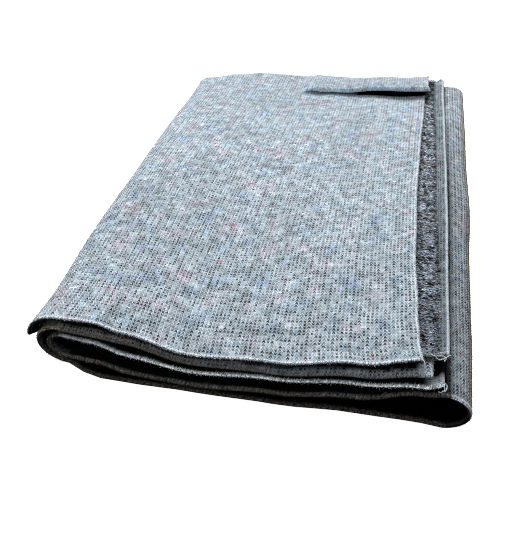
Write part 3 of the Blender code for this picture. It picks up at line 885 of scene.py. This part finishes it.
def curls(patch):
    """Loose pale fibres that lie in curls on the cloth."""
    u = rng.uniform(patch.u[0] + CURL_MARGIN, patch.u[-1] - CURL_MARGIN, CURL_COUNT)
    v = rng.uniform(CURL_MARGIN, patch.v[open_rows].min() - CURL_MARGIN, CURL_COUNT)
    reach = rng.uniform(*CURL_REACH, CURL_COUNT) * MM
    start, sweep = rng.uniform(0, 2 * np.pi, CURL_COUNT), rng.uniform(*CURL_SWEEP, CURL_COUNT)
    squash = rng.uniform(0.5, 1.0, CURL_COUNT)
    stations = []
    for way in np.linspace(0.0, 1.0, CURL_STEPS):
        angle = start + sweep * way
        lift = np.full(CURL_COUNT, CURL_RADIUS * (0.4 + np.sin(way * np.pi)))
        stations.append((u + reach * np.cos(angle), v + reach * squash * np.sin(angle), lift))
    paths, ups, places, looks = laid(patch, stations)
    looks[:, :, 0] *= rng.uniform(0.95, 1.5, (CURL_COUNT, 1))
    taper = np.sin(np.linspace(0.5, np.pi - 0.5, CURL_STEPS))
    radius = CURL_RADIUS * rng.uniform(0.5, 1.2, (CURL_COUNT, 1)) * taper
    return tubes(paths, ups, places, looks, radius)


FUZZ_RADIUS = 0.14 * MM
FUZZ_INSET = 0.42  # of the cloth's thickness, from its middle up to the fibres' lowest starts
# Where fuzz stands off a cut edge: the layers at the near end, or none for TOP's free edge. Then its tone,
# warmth, step and length.
FUZZ = (
    (("top",), 1.1, 0.0, 0.30 * MM, 2.0 * MM),
    ((), 1.0, 0.0, 0.55 * MM, 2.0 * MM),
    (("second",), 0.9, 0.0, 0.55 * MM, 2.0 * MM),
    (("third",), 0.7, 0.5, 0.55 * MM, 2.0 * MM),
    (("loop",), 0.6, 0.0, 1.1 * MM, 0.7 * MM),
    (("fifth", "inner"), 0.4, 0.9, 0.7 * MM, 1.2 * MM),
    (("outer",), 0.5, 1.0, 0.7 * MM, 1.0 * MM),
    (("fourth",), 1.2, 0.0, 0.6 * MM, 1.1 * MM),
)


def edge_fuzz(layers, tone, warmth, step, length):
    """Short loose fibres that stand off a cut edge."""
    if layers:
        here = in_layers(*layers)
        run, line, beyond, line_up = cloth_u[0, here], middle[0, here], middle[1, here], normals[0, here]
    else:
        run, line, beyond, line_up = cloth_v[:, 0], middle[:, 0], middle[:, 1], normals[:, 0]
    at = np.arange(run[0], run[-1], step)
    at = at + rng.uniform(-step, step, len(at))
    if not layers:
        at = at[(at < run[open_rows + MOUTH_ROW]) | (at > run[open_rows + CREST_ROW])]
    lines = np.concatenate([line, line_up, unit(line - beyond)], axis=1)
    read = [np.interp(at, run, values) for values in lines.T]
    point, up, out = np.split(np.stack(read, axis=1), 3, axis=1)
    sideways = np.cross(up, out)
    one_each = (len(at), 1)
    level = np.maximum(rng.uniform(-0.2, 1.0, one_each) / 2, FUZZ_INSET) * CLOTH_THICKNESS
    inset = rng.uniform(0.2, 2.6, one_each) * MM
    reach = length * rng.uniform(0.3, 1.0, one_each)
    lift, drift = rng.normal(0.35, 0.5, one_each), rng.normal(0, 0.8, one_each)
    start = point - out * inset + up * level
    tip = start + reach * (out + up * lift + sideways * drift)
    bend = (start + tip) / 2 + up * reach * rng.uniform(0.0, 0.35, one_each)
    bend = bend + sideways * reach * rng.normal(0, 0.2, one_each)
    paths = np.stack([start, bend, tip], axis=1)
    paths[:, :, 2] = np.maximum(paths[:, :, 2], FUZZ_RADIUS * 2)
    places = np.stack([at, at * 0.3], axis=1)[:, None]
    radius = FUZZ_RADIUS * rng.uniform(0.7, 1.5, one_each) * np.array([1.0, 1.0, 0.5])
    looks = np.array([1.0, warmth, 1.0]) * np.ones((len(at), 1, 3))
    looks[:, :, 0] = tone * rng.uniform(0.4, 1.15, one_each)
    return tubes(paths, np.repeat(up[:, None], 3, axis=1), places, looks, radius)


OVERLOCK_STEP = 2.0 * MM
OVERLOCK_WANDER = 0.5 * MM
OVERLOCK_SLANT = 1.3 * MM
OVERLOCK_BITE = 4.2 * MM
OVERLOCK_RADIUS = 0.48 * MM
OVERLOCK_MARGIN = {"near": 1.5 * MM, "far": 6 * MM}
# From one side over the edge to the other: shares of the bite and of the slant, and the lift in yarn radii.
OVERLOCK_STATIONS = (
    ("face", 1.0, -1.0, -0.6), ("face", 0.35, -0.5, 0.7), (None, 0.0, 0.0, 0.6),
    ("reverse", 0.35, 0.5, 0.7), ("reverse", 1.0, 1.0, -0.6),
)
OVERLOCK_TONES = np.array([1.0, 0.7, 0.12, 0.1, 0.1])  # at these stations, as painted shade: darker over the cut edge and on the reverse. FLOOR and SECOND lie turned over
FAR_OVERLOCK = 0.6  # how thick the far end's yarn is, as a share of the near end's
LOW_OVERLOCK = 0.5  # and the yarn at the bundle's bottom
LOOP_OVERLOCK = 0.75


def overlock(edge):
    """Yarn wrapped over the near or far cut edge, from one side of the cloth to the other."""
    inwards = slice(None) if edge == "near" else slice(None, None, -1)
    line, line_normals = middle[inwards], normals[inwards]
    inward = np.abs(cloth_v[inwards] - cloth_v[inwards][0])
    u = np.arange(OVERLOCK_MARGIN[edge], cloth_u[0, -1] - OVERLOCK_MARGIN[edge], OVERLOCK_STEP)
    u = np.clip(u + rng.normal(0, OVERLOCK_WANDER, len(u)), 0.0, cloth_u[0, -1])
    slant = OVERLOCK_SLANT * rng.uniform(0.3, 1.5, len(u))
    bite = OVERLOCK_BITE * rng.uniform(0.75, 1.1, len(u))
    paths, ups = [], []
    for side, depth_share, lean, raised in OVERLOCK_STATIONS:
        j = np.interp(u + lean * slant, cloth_u[0], np.arange(len(column_layer)))
        first = np.minimum(j.astype(int), len(column_layer) - 2)
        share = (j - first)[:, None]
        if side:
            table = side_points(side)[inwards]
            point = np.zeros((len(u), 3))
            for number, column in enumerate(first):
                i = np.interp(depth_share * bite[number], inward[:, column], np.arange(len(inward)))
                across, down = share[number, 0], i - int(i)
                weights = np.outer((1 - down, down), (1 - across, across))
                point[number] = np.tensordot(weights, table[int(i):int(i) + 2, column:column + 2])
            up = SIDES[side] * mixed(line_normals[0, first], line_normals[0, first + 1], share)
        else:
            point = mixed(line[0, first], line[0, first + 1], share)
            up = unit(line[0, first] - line[1, first])
        paths.append(point + up * OVERLOCK_RADIUS * raised)
        ups.append(up)
    paths, ups = np.stack(paths, axis=1), np.stack(ups, axis=1)
    paths[:, :, 2] = np.maximum(paths[:, :, 2], OVERLOCK_RADIUS * 1.3)
    column = np.searchsorted(cloth_u[0], u)
    layer = column_layer[column]
    radius = OVERLOCK_RADIUS * rng.uniform(0.5, 1.2, (len(u), 1))
    radius[layer == "floor"] *= LOW_OVERLOCK
    radius[layer == "loop"] *= LOOP_OVERLOCK
    tone = yarn_tone[column] * rng.uniform(0.35, 1.2, len(u))
    # Painted light and shade along the near edge, as on the felt.
    tone = tone * edge_painted_light_and_shade(line[0, column, 0] + ORIGIN_X, line_normals[0, column, 2], layer)
    looks = np.stack([tone, edge_warmth[column], np.ones(len(u))], axis=1)
    looks = looks[:, None].repeat(len(OVERLOCK_STATIONS), axis=1)
    if edge == "far":
        radius = radius * FAR_OVERLOCK
    else:
        # Painted shade on the yarn over the edge and on the reverse, turned round for layers that lie turned
        # over.
        turned_over = np.isin(layer, ("floor", "second"))[:, None]
        shade = np.where(turned_over, OVERLOCK_TONES[::-1], OVERLOCK_TONES)
        looks[:, :, 0] *= np.where((layer == "fourth")[:, None], 1.0, shade)
    places = np.stack([u, np.zeros(len(u))], axis=1)[:, None]
    return tubes(paths, ups, places, looks, radius, flat=0.8)


# Loose ends of the overlocking yarn at the near right corners, as points in mm.
LOOSE_ENDS = (
    ((148.5, -283.5, 66), (151.5, -288, 65.2), (153, -291.5, 61.5), (155, -293.5, 59), (157.5, -294.5, 58.6)),
    ((157, -274, 61), (161.5, -276.5, 62), (166, -275.5, 62.5), (169.5, -277, 61.5), (168, -279.5, 60.5)),
    ((160, -275.5, 61.5), (163.5, -278.5, 61), (167, -277.5, 60.5), (170.5, -275, 61.5), (173, -272, 61)),
    ((162, -294.5, 45), (166.5, -295.5, 45.5), (170.5, -293, 45.5), (171.5, -296, 43.5), (167, -297.5, 42.5)),
    ((164, -293.5, 45), (168, -291, 46.5), (172, -290.5, 46), (173.5, -293.5, 44), (171, -296.5, 42.5)),
)
LOOSE_RADIUS = 0.5 * MM
LOOSE_STEPS = 17
LOOSE_WANDER = 0.25 * MM
LOOSE_LOOK = (0.85, 0.1, 1.0)


def loose_ends():
    """Tubes along smooth curves through the points of LOOSE_ENDS."""
    control = np.array(LOOSE_ENDS) * MM
    last = control.shape[1] - 1
    paths = np.zeros((len(control), LOOSE_STEPS, 3))
    for step, station in enumerate(np.linspace(0, last, LOOSE_STEPS)):
        first = min(int(station), last - 1)
        t = station - first
        a, b, c, d = (control[:, min(max(first + offset, 0), last)] for offset in (-1, 0, 1, 2))
        curve = 2 * b + (c - a) * t + (2 * a - 5 * b + 4 * c - d) * t ** 2 + (3 * b - a - 3 * c + d) * t ** 3
        paths[:, step] = curve / 2
    ups = np.broadcast_to(np.array([0.05, 0.1, 1.0]), paths.shape)
    places = paths[:, :, :2]
    paths = paths + rng.normal(0, LOOSE_WANDER, paths.shape)
    radius = LOOSE_RADIUS * rng.uniform(0.6, 1.4, (len(control), LOOSE_STEPS))
    return tubes(paths, ups, places, np.array(LOOSE_LOOK), radius, sides=5)


# ---- materials
class Value:
    """A shader socket that can be calculated with."""

    def __init__(self, graph, socket):
        self.graph = graph
        self.socket = socket

    def __add__(self, other):
        return self.graph.math("ADD", self, other)

    def __sub__(self, other):
        return self.graph.math("SUBTRACT", self, other)

    def __rsub__(self, other):
        return self.graph.math("SUBTRACT", other, self)

    def __mul__(self, other):
        return self.graph.math("MULTIPLY", self, other)

    def __truediv__(self, other):
        return self.graph.math("DIVIDE", self, other)

    def around(self, gain):
        """A noise value about zero, scaled."""
        return (self - 0.5) * gain


class Graph:
    """The shader nodes of a material or a world, under a few short names."""

    def __init__(self, owner, shader="Principled BSDF"):
        owner.use_nodes = True
        self.owner = owner
        self.tree = owner.node_tree
        self.shader = self.tree.nodes[shader]

    def put(self, node, inputs):
        """Sets a node's inputs to values, numbers, or colours of three numbers."""
        for key, value in inputs.items():
            socket = node.inputs[key]
            if isinstance(value, Value):
                self.tree.links.new(value.socket, socket)
            else:
                socket.default_value = (*value, 1.0) if socket.type == "RGBA" else value

    def node(self, kind, inputs, **settings):
        """The outputs of a new node."""
        made = self.tree.nodes.new("ShaderNode" + kind)
        for name, value in settings.items():
            setattr(made, name, value)
        self.put(made, inputs)
        return [Value(self, socket) for socket in made.outputs]

    def math(self, operation, *values, clamp=False):
        return self.node("Math", dict(enumerate(values)), operation=operation, use_clamp=clamp)[0]

    def band(self, value, start, end, low=0.0, high=1.0):
        """An eased step of a value from start to end."""
        inputs = dict(enumerate((value, start, end, low, high)))
        return self.node("MapRange", inputs, interpolation_type="SMOOTHSTEP")[0]

    def mix(self, factor, first, second, blend="MIX"):
        inputs = {"Factor": factor, 6: first, 7: second}
        return self.node("Mix", inputs, data_type="RGBA", blend_type=blend)[2]

    def toned(self, colour, tone):
        """A colour multiplied by a tone."""
        grey = self.node("CombineColor", dict.fromkeys(range(3), tone))[0]
        return self.mix(1.0, colour, grey, "MULTIPLY")

    def ramp(self, factor, stops, interpolation="LINEAR"):
        """The colour of a factor, from stops of a place and a colour."""
        made = self.node("ValToRGB", {0: factor})[0]
        ramp = made.socket.node.color_ramp
        ramp.interpolation = interpolation
        while len(ramp.elements) < len(stops):
            ramp.elements.new(0.5)
        for element, (place, colour) in zip(ramp.elements, stops):
            element.position = place
            element.color = (*colour, 1.0)
        return made


# Noises over the cloth: their scale, detail and roughness.
PATCHES = (80.0, 3.0, 0.65)
WIDE_PATCHES = (18.0, 2.0, 0.5)
TUFTS = (190.0, 3.0, 0.65)
CLUMPS = (150.0, 3.0, 0.7)
TINT_PATCHES = (38.0, 2.0, 0.6)
RAGS = (420.0, 2.0, 0.7)
REVERSE_CLUMPS = (120.0, 3.0, 0.65)
GRAIN = (460.0, 3.0, 0.75)
WANDER = (45.0, 1.0, 0.5)
# Streaked noises: the same, with a scale along the section and one across it.
FIBRES = (900.0, 420.0, 2.0, 0.6)
REVERSE_FIBRES = (190.0, 780.0, 3.0, 0.7)
SPECK_SCALE = 85.0
SPECK_SHARE = 0.45
STITCH_WANDER = 0.9 * MM
FELT_WARM = (0.43, 0.38, 0.29)
RIM_WARM = (0.60, 0.53, 0.43)
HOLE_COLOUR = (0.012, 0.016, 0.022)
TUFT_COLOUR = (0.80, 0.86, 0.90)
REVERSE_DARK = (0.012, 0.018, 0.032)
REVERSE_LIGHT = (0.74, 0.83, 0.98)
TINTS = (
    (0.29, (0.41, 0.51, 0.71)), (0.40, (0.46, 0.58, 0.67)), (0.50, (0.50, 0.59, 0.65)),
    (0.60, (0.51, 0.57, 0.65)), (0.72, (0.58, 0.53, 0.61)),
)
SPECKS = (
    (0.0, (0.50, 0.20, 0.28)), (0.20, (0.14, 0.20, 0.45)), (0.38, (0.58, 0.36, 0.16)),
    (0.50, (0.16, 0.44, 0.48)), (0.62, (0.60, 0.30, 0.42)), (0.74, (0.03, 0.04, 0.05)),
    (0.92, (0.90, 0.92, 0.95)),
)
GRIT = 5.0  # unevenness of the brownish edges
RIM_GRIT = 0.75  # and of the light rims, as a share of it
FELT_RELIEF = 1.0 * MM
YARN_RELIEF = 0.3 * MM


class Cloth(Graph):
    """A material of the cloth: what its points carry, and the fibre's unevenness, alike in felt and yarn."""

    def __init__(self, name):
        super().__init__(bpy.data.materials.new(name))
        self.place = self.node("UVMap", {}, uv_map="cloth")[0]
        # The looks that each point carries, with their painted light and shade.
        look, self.rim = self.node("VertexColor", {}, layer_name="looks_with_painted_light")
        self.tone, self.warmth, self.stitching = self.node("SeparateColor", {0: look})
        self.patches = self.noise(*PATCHES)
        self.tufts = self.noise(*TUFTS)
        self.fibres = self.streaks(*FIBRES)
        clump = self.noise(*CLUMPS)
        lightness = self.patches.around(1.1) + 1.0
        lightness = lightness + self.noise(*WIDE_PATCHES).around(0.5) + self.tufts.around(1.1)
        self.lightness = lightness - self.band(clump, 0.42, 0.30, 0.0, 0.35)
        self.tint = self.ramp(self.noise(*TINT_PATCHES), TINTS)
        self.tuft = self.band(clump + self.patches.around(0.5), 0.58, 0.73)
        self.dark = self.band(self.patches, 0.52, 0.32)

    def noise(self, scale, detail, roughness, place=None, output=0):
        inputs = {"Vector": place or self.place, "Scale": scale, "Detail": detail, "Roughness": roughness}
        return self.node("TexNoise", inputs)[output]

    def streaks(self, u_scale, v_scale, detail, roughness):
        inputs = {0: self.place, 1: (u_scale, v_scale, 1.0)}
        stretched = self.node("VectorMath", inputs, operation="MULTIPLY")[0]
        return self.noise(1.0, detail, roughness, stretched)

    def cells(self, x, y, seed):
        """A random value for each whole number of x and y."""
        inputs = {0: self.math("ROUND", x), 1: self.math("ROUND", y), 2: seed}
        place = self.node("CombineXYZ", inputs)[0]
        return self.node("TexWhiteNoise", {"Vector": place}, noise_dimensions="3D")[0]

    def speckled(self, colour, strength):
        """Coloured bits of fibre over a colour."""
        inputs = {"Vector": self.place, "Scale": SPECK_SCALE}
        distance, cell = self.node("TexVoronoi", inputs, feature="F1")[:2]
        chance, size, kind = self.node("SeparateColor", {0: cell})
        size = self.band(size, 0.2, 1.0, 0.10, 0.30)
        speck = self.band(distance + self.tufts.around(0.45), size, size * 0.3)
        speck = self.math("LESS_THAN", chance, SPECK_SHARE) * speck
        return self.mix(speck * strength, colour, self.ramp(kind, SPECKS, "CONSTANT"))

    def from_line(self, value):
        """Distance from the nearest whole number."""
        return self.math("ABSOLUTE", self.math("FRACT", value + 0.5) - 0.5)

    def stitch_marks(self):
        """How dark the cloth is between its stitches and in its needle holes."""
        wander = self.node("SeparateXYZ", {0: self.noise(*WANDER, output=1)})
        place = self.node("SeparateXYZ", {0: self.place})
        column = (place[0] + wander[0].around(STITCH_WANDER)) / STITCH_PITCH
        course = (place[1] + wander[1].around(STITCH_WANDER)) / STITCH_LENGTH
        side_way = self.from_line(column)
        stroke_way = self.from_line(course + side_way * (2 * STITCH_RISE))
        stroke = self.band(stroke_way, 0.42, 0.10)
        spot = self.band(stroke_way, 0.42, 0.22)
        holes = []
        for columns, reach, depths, seed in (
            (column, (0.22, 0.11), (0.05, 1.0, 0.42, 1.0), 1.0),
            (column * 2.0, (0.31, 0.42), (0.1, 1.0, 0.28, 0.95), 7.0),
        ):
            depth = self.band(self.cells(columns, course, seed), *depths)
            depth = self.math("ADD", depth, self.dark * 0.3, clamp=True)
            holes.append(spot * self.band(side_way, *reach) * depth)
        between_threads = stroke * self.band(self.patches, 0.62, 0.35, 0.15, 0.45)
        return self.math("MAXIMUM", self.math("MAXIMUM", *holes), between_threads)

    def finished(self, inputs, relief, distance, strength):
        """The material, with these inputs of its shader and this relief."""
        bump = self.node("Bump", {"Height": relief, "Distance": distance, "Strength": strength})[0]
        self.put(self.shader, {**inputs, "Normal": bump})
        return self.owner


def felt_material():
    g = Cloth("felt")
    ragged = g.noise(*RAGS).around(1.6)
    rim = g.band(g.rim + ragged * g.rim, 0.15, 0.75)
    clear = g.math("MULTIPLY", g.stitching * (1.0 - g.tuft * 0.6), 1.0 - rim, clamp=True)
    dark = g.stitch_marks() * clear
    stitched = g.toned(g.mix(g.warmth, g.tint, FELT_WARM), g.lightness)
    stitched = g.mix(g.tuft * 0.6, stitched, TUFT_COLOUR)
    loose = g.band(g.streaks(*REVERSE_FIBRES).around(1.6) + g.noise(*REVERSE_CLUMPS), 0.36, 0.72)
    reverse = g.mix(loose, REVERSE_DARK, REVERSE_LIGHT)
    colour = g.mix(g.band(g.stitching, 0.1, 0.7), reverse, stitched)
    colour = g.speckled(colour, 0.95 - g.stitching * 0.35)
    colour = g.mix(dark, colour, HOLE_COLOUR)
    colour = g.mix(rim * 0.7, colour, g.mix(g.warmth, TUFT_COLOUR, RIM_WARM))
    grit = (g.warmth + g.rim * RIM_GRIT) * g.noise(*GRAIN).around(GRIT)
    tone = g.tone * g.math("MAXIMUM", grit + 1.0, 0.1)
    relief = g.tufts * 0.6 - dark + g.fibres * 0.35 + loose * (1.0 - g.stitching)
    # Specular and sheen follow the tone, so the painted shade darkens them too.
    inputs = {
        "Base Color": g.toned(colour, tone),
        "Roughness": 0.95,
        "Specular IOR Level": tone * 0.15,
        "Sheen Weight": tone * 0.12,
        "Sheen Roughness": 0.6,
    }
    return g.finished(inputs, relief, FELT_RELIEF, 0.8)


def yarn_material(name, colour, gain=1.0, specks=0.5):
    g = Cloth(name)
    tint = g.mix(g.warmth, g.mix(0.5, g.tint, colour), FELT_WARM)
    # Specular follows the tone, so the painted shade darkens it too.
    inputs = {
        "Base Color": g.speckled(g.toned(tint, g.lightness * gain * g.tone), specks),
        "Roughness": 0.9,
        "Specular IOR Level": g.tone * 0.2,
    }
    return g.finished(inputs, g.fibres, YARN_RELIEF, 0.5)


# ---- the pieces
felt = felt_piece(felt_material())
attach(felt, "root")
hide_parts("blanket")

stitch_yarn = yarn_material("stitch_yarn", (0.66, 0.76, 0.84), 1.15)
edge_yarn = yarn_material("edge_yarn", (0.80, 0.84, 0.88))
side_yarn = yarn_material("side_yarn", (0.62, 0.72, 0.80), 1.5)
stroke_yarn = yarn_material("stroke_yarn", (0.68, 0.76, 0.90), 1.2, 0.85)
curl_yarn = yarn_material("curl_yarn", (0.86, 0.88, 0.90), 1.5, 0.1)
top = Patch("face", "top")
side = Patch("face", "loop", "fifth")
fuzzy = Patch("reverse", "second")
half_way = top.u[-1] / 2
fifth_start = cloth_u[0, in_layers("fifth")][0]
pieces = [
    yarn_piece("stitches_top_right", [stitch_legs(top, 2 * MM, half_way)], stitch_yarn),
    yarn_piece("stitches_top_left", [stitch_legs(top, half_way, top.u[-1])], stitch_yarn),
    yarn_piece("stitches_side", [stitch_legs(side, fifth_start - 48 * MM, fifth_start + 8 * MM)], side_yarn),
    yarn_piece("strokes_right", [fuzzy_strokes(fuzzy)], stroke_yarn),
    yarn_piece("curls", [curls(top)], curl_yarn),
    yarn_piece("overlock_near", [overlock("near"), loose_ends()], edge_yarn),
    yarn_piece("overlock_far", [overlock("far")], edge_yarn),
    yarn_piece("edge_fuzz", [edge_fuzz(*kind) for kind in FUZZ], edge_yarn),
]
for piece in pieces:
    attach(piece, "root")


# ---- camera, light and backdrop
CAMERA_PLACE = (0.09447, -0.62758, 0.45)
CAMERA_DOWN = 41.4
CAMERA_TURN = 12.4
CAMERA_LENS = 41.57
CAMERA_SENSOR = 36.0
KEY_PLACE = (-0.4, 1.25, 1.75)
KEY_TARGET = (0.0, 0.0, 0.03)
KEY_SIZE = 1.2
KEY_POWER = 52.0
STAGE_REACH = 12.0
WALL_HEIGHT = 9.0
WALL_SIDES = 64
WALL_GLOW = 1.0
FLOOR_SHADE = 0.90
FLOOR_GLOW = 0.82
FLOOR_GAP = 0.2 * MM
WORLD_HEIGHTS = (0.05, 0.9)
WORLD_BELOW = 0.03
WORLD_ABOVE = 0.75


def camera():
    data = bpy.data.cameras.new("camera")
    data.lens = CAMERA_LENS
    data.sensor_width = CAMERA_SENSOR
    data.sensor_fit = "HORIZONTAL"
    made = placed("camera", data)
    made.location = CAMERA_PLACE
    made.rotation_euler = (np.radians(90 - CAMERA_DOWN), 0.0, np.radians(CAMERA_TURN))
    bpy.context.scene.camera = made


def key_light():
    data = bpy.data.lights.new("key", "AREA")
    data.shape = "DISK"
    data.size = KEY_SIZE
    data.energy = KEY_POWER
    made = placed("key", data)
    made.location = KEY_PLACE
    made.rotation_euler = (Vector(KEY_TARGET) - Vector(KEY_PLACE)).to_track_quat("-Z", "Y").to_euler()


def stage_piece(name, points, faces, shade, glow):
    """A pale piece of the studio, which glows a little itself but throws no light or shadow on the bundle."""
    g = Graph(bpy.data.materials.new(name))
    g.put(g.shader, {
        "Base Color": (shade, shade, shade),
        "Roughness": 0.9,
        "Emission Color": (1.0, 1.0, 1.0),
        "Emission Strength": glow,
    })
    made = mesh_piece(name, points, faces, g.owner)
    made.location = (0, 0, -FLOOR_GAP)
    made.visible_diffuse = False
    made.visible_shadow = False


def stage():
    """A round floor with a wall far behind."""
    angles = np.arange(WALL_SIDES) * 2 * np.pi / WALL_SIDES
    ring = [(STAGE_REACH * np.cos(angle), STAGE_REACH * np.sin(angle)) for angle in angles]
    points = [(x, y, z) for z in (0.0, WALL_HEIGHT) for x, y in ring]
    corners = [(number, (number + 1) % WALL_SIDES) for number in range(WALL_SIDES)]
    stage_piece("floor", points[:WALL_SIDES], [range(WALL_SIDES)], FLOOR_SHADE, FLOOR_GLOW)
    stage_piece("wall", points, [(a, b, b + WALL_SIDES, a + WALL_SIDES) for a, b in corners], 0.0, WALL_GLOW)


def world():
    """Soft light from above, and little from below."""
    g = Graph(bpy.data.worlds.new("studio"), "Background")
    upward = g.node("SeparateXYZ", {0: g.node("TexCoord", {})[0]})[2]
    inputs = dict(enumerate((upward, *WORLD_HEIGHTS, WORLD_BELOW, WORLD_ABOVE)))
    g.put(g.shader, {"Color": (1.0, 1.0, 1.0), "Strength": g.node("MapRange", inputs)[0]})
    bpy.context.scene.world = g.owner


camera()
stage()
world()
key_light()
bpy.context.scene.view_settings.view_transform = "Standard"
bpy.context.scene.cycles.denoising_prefilter = "NONE"
bpy.context.scene.cycles.filter_width = 1.0
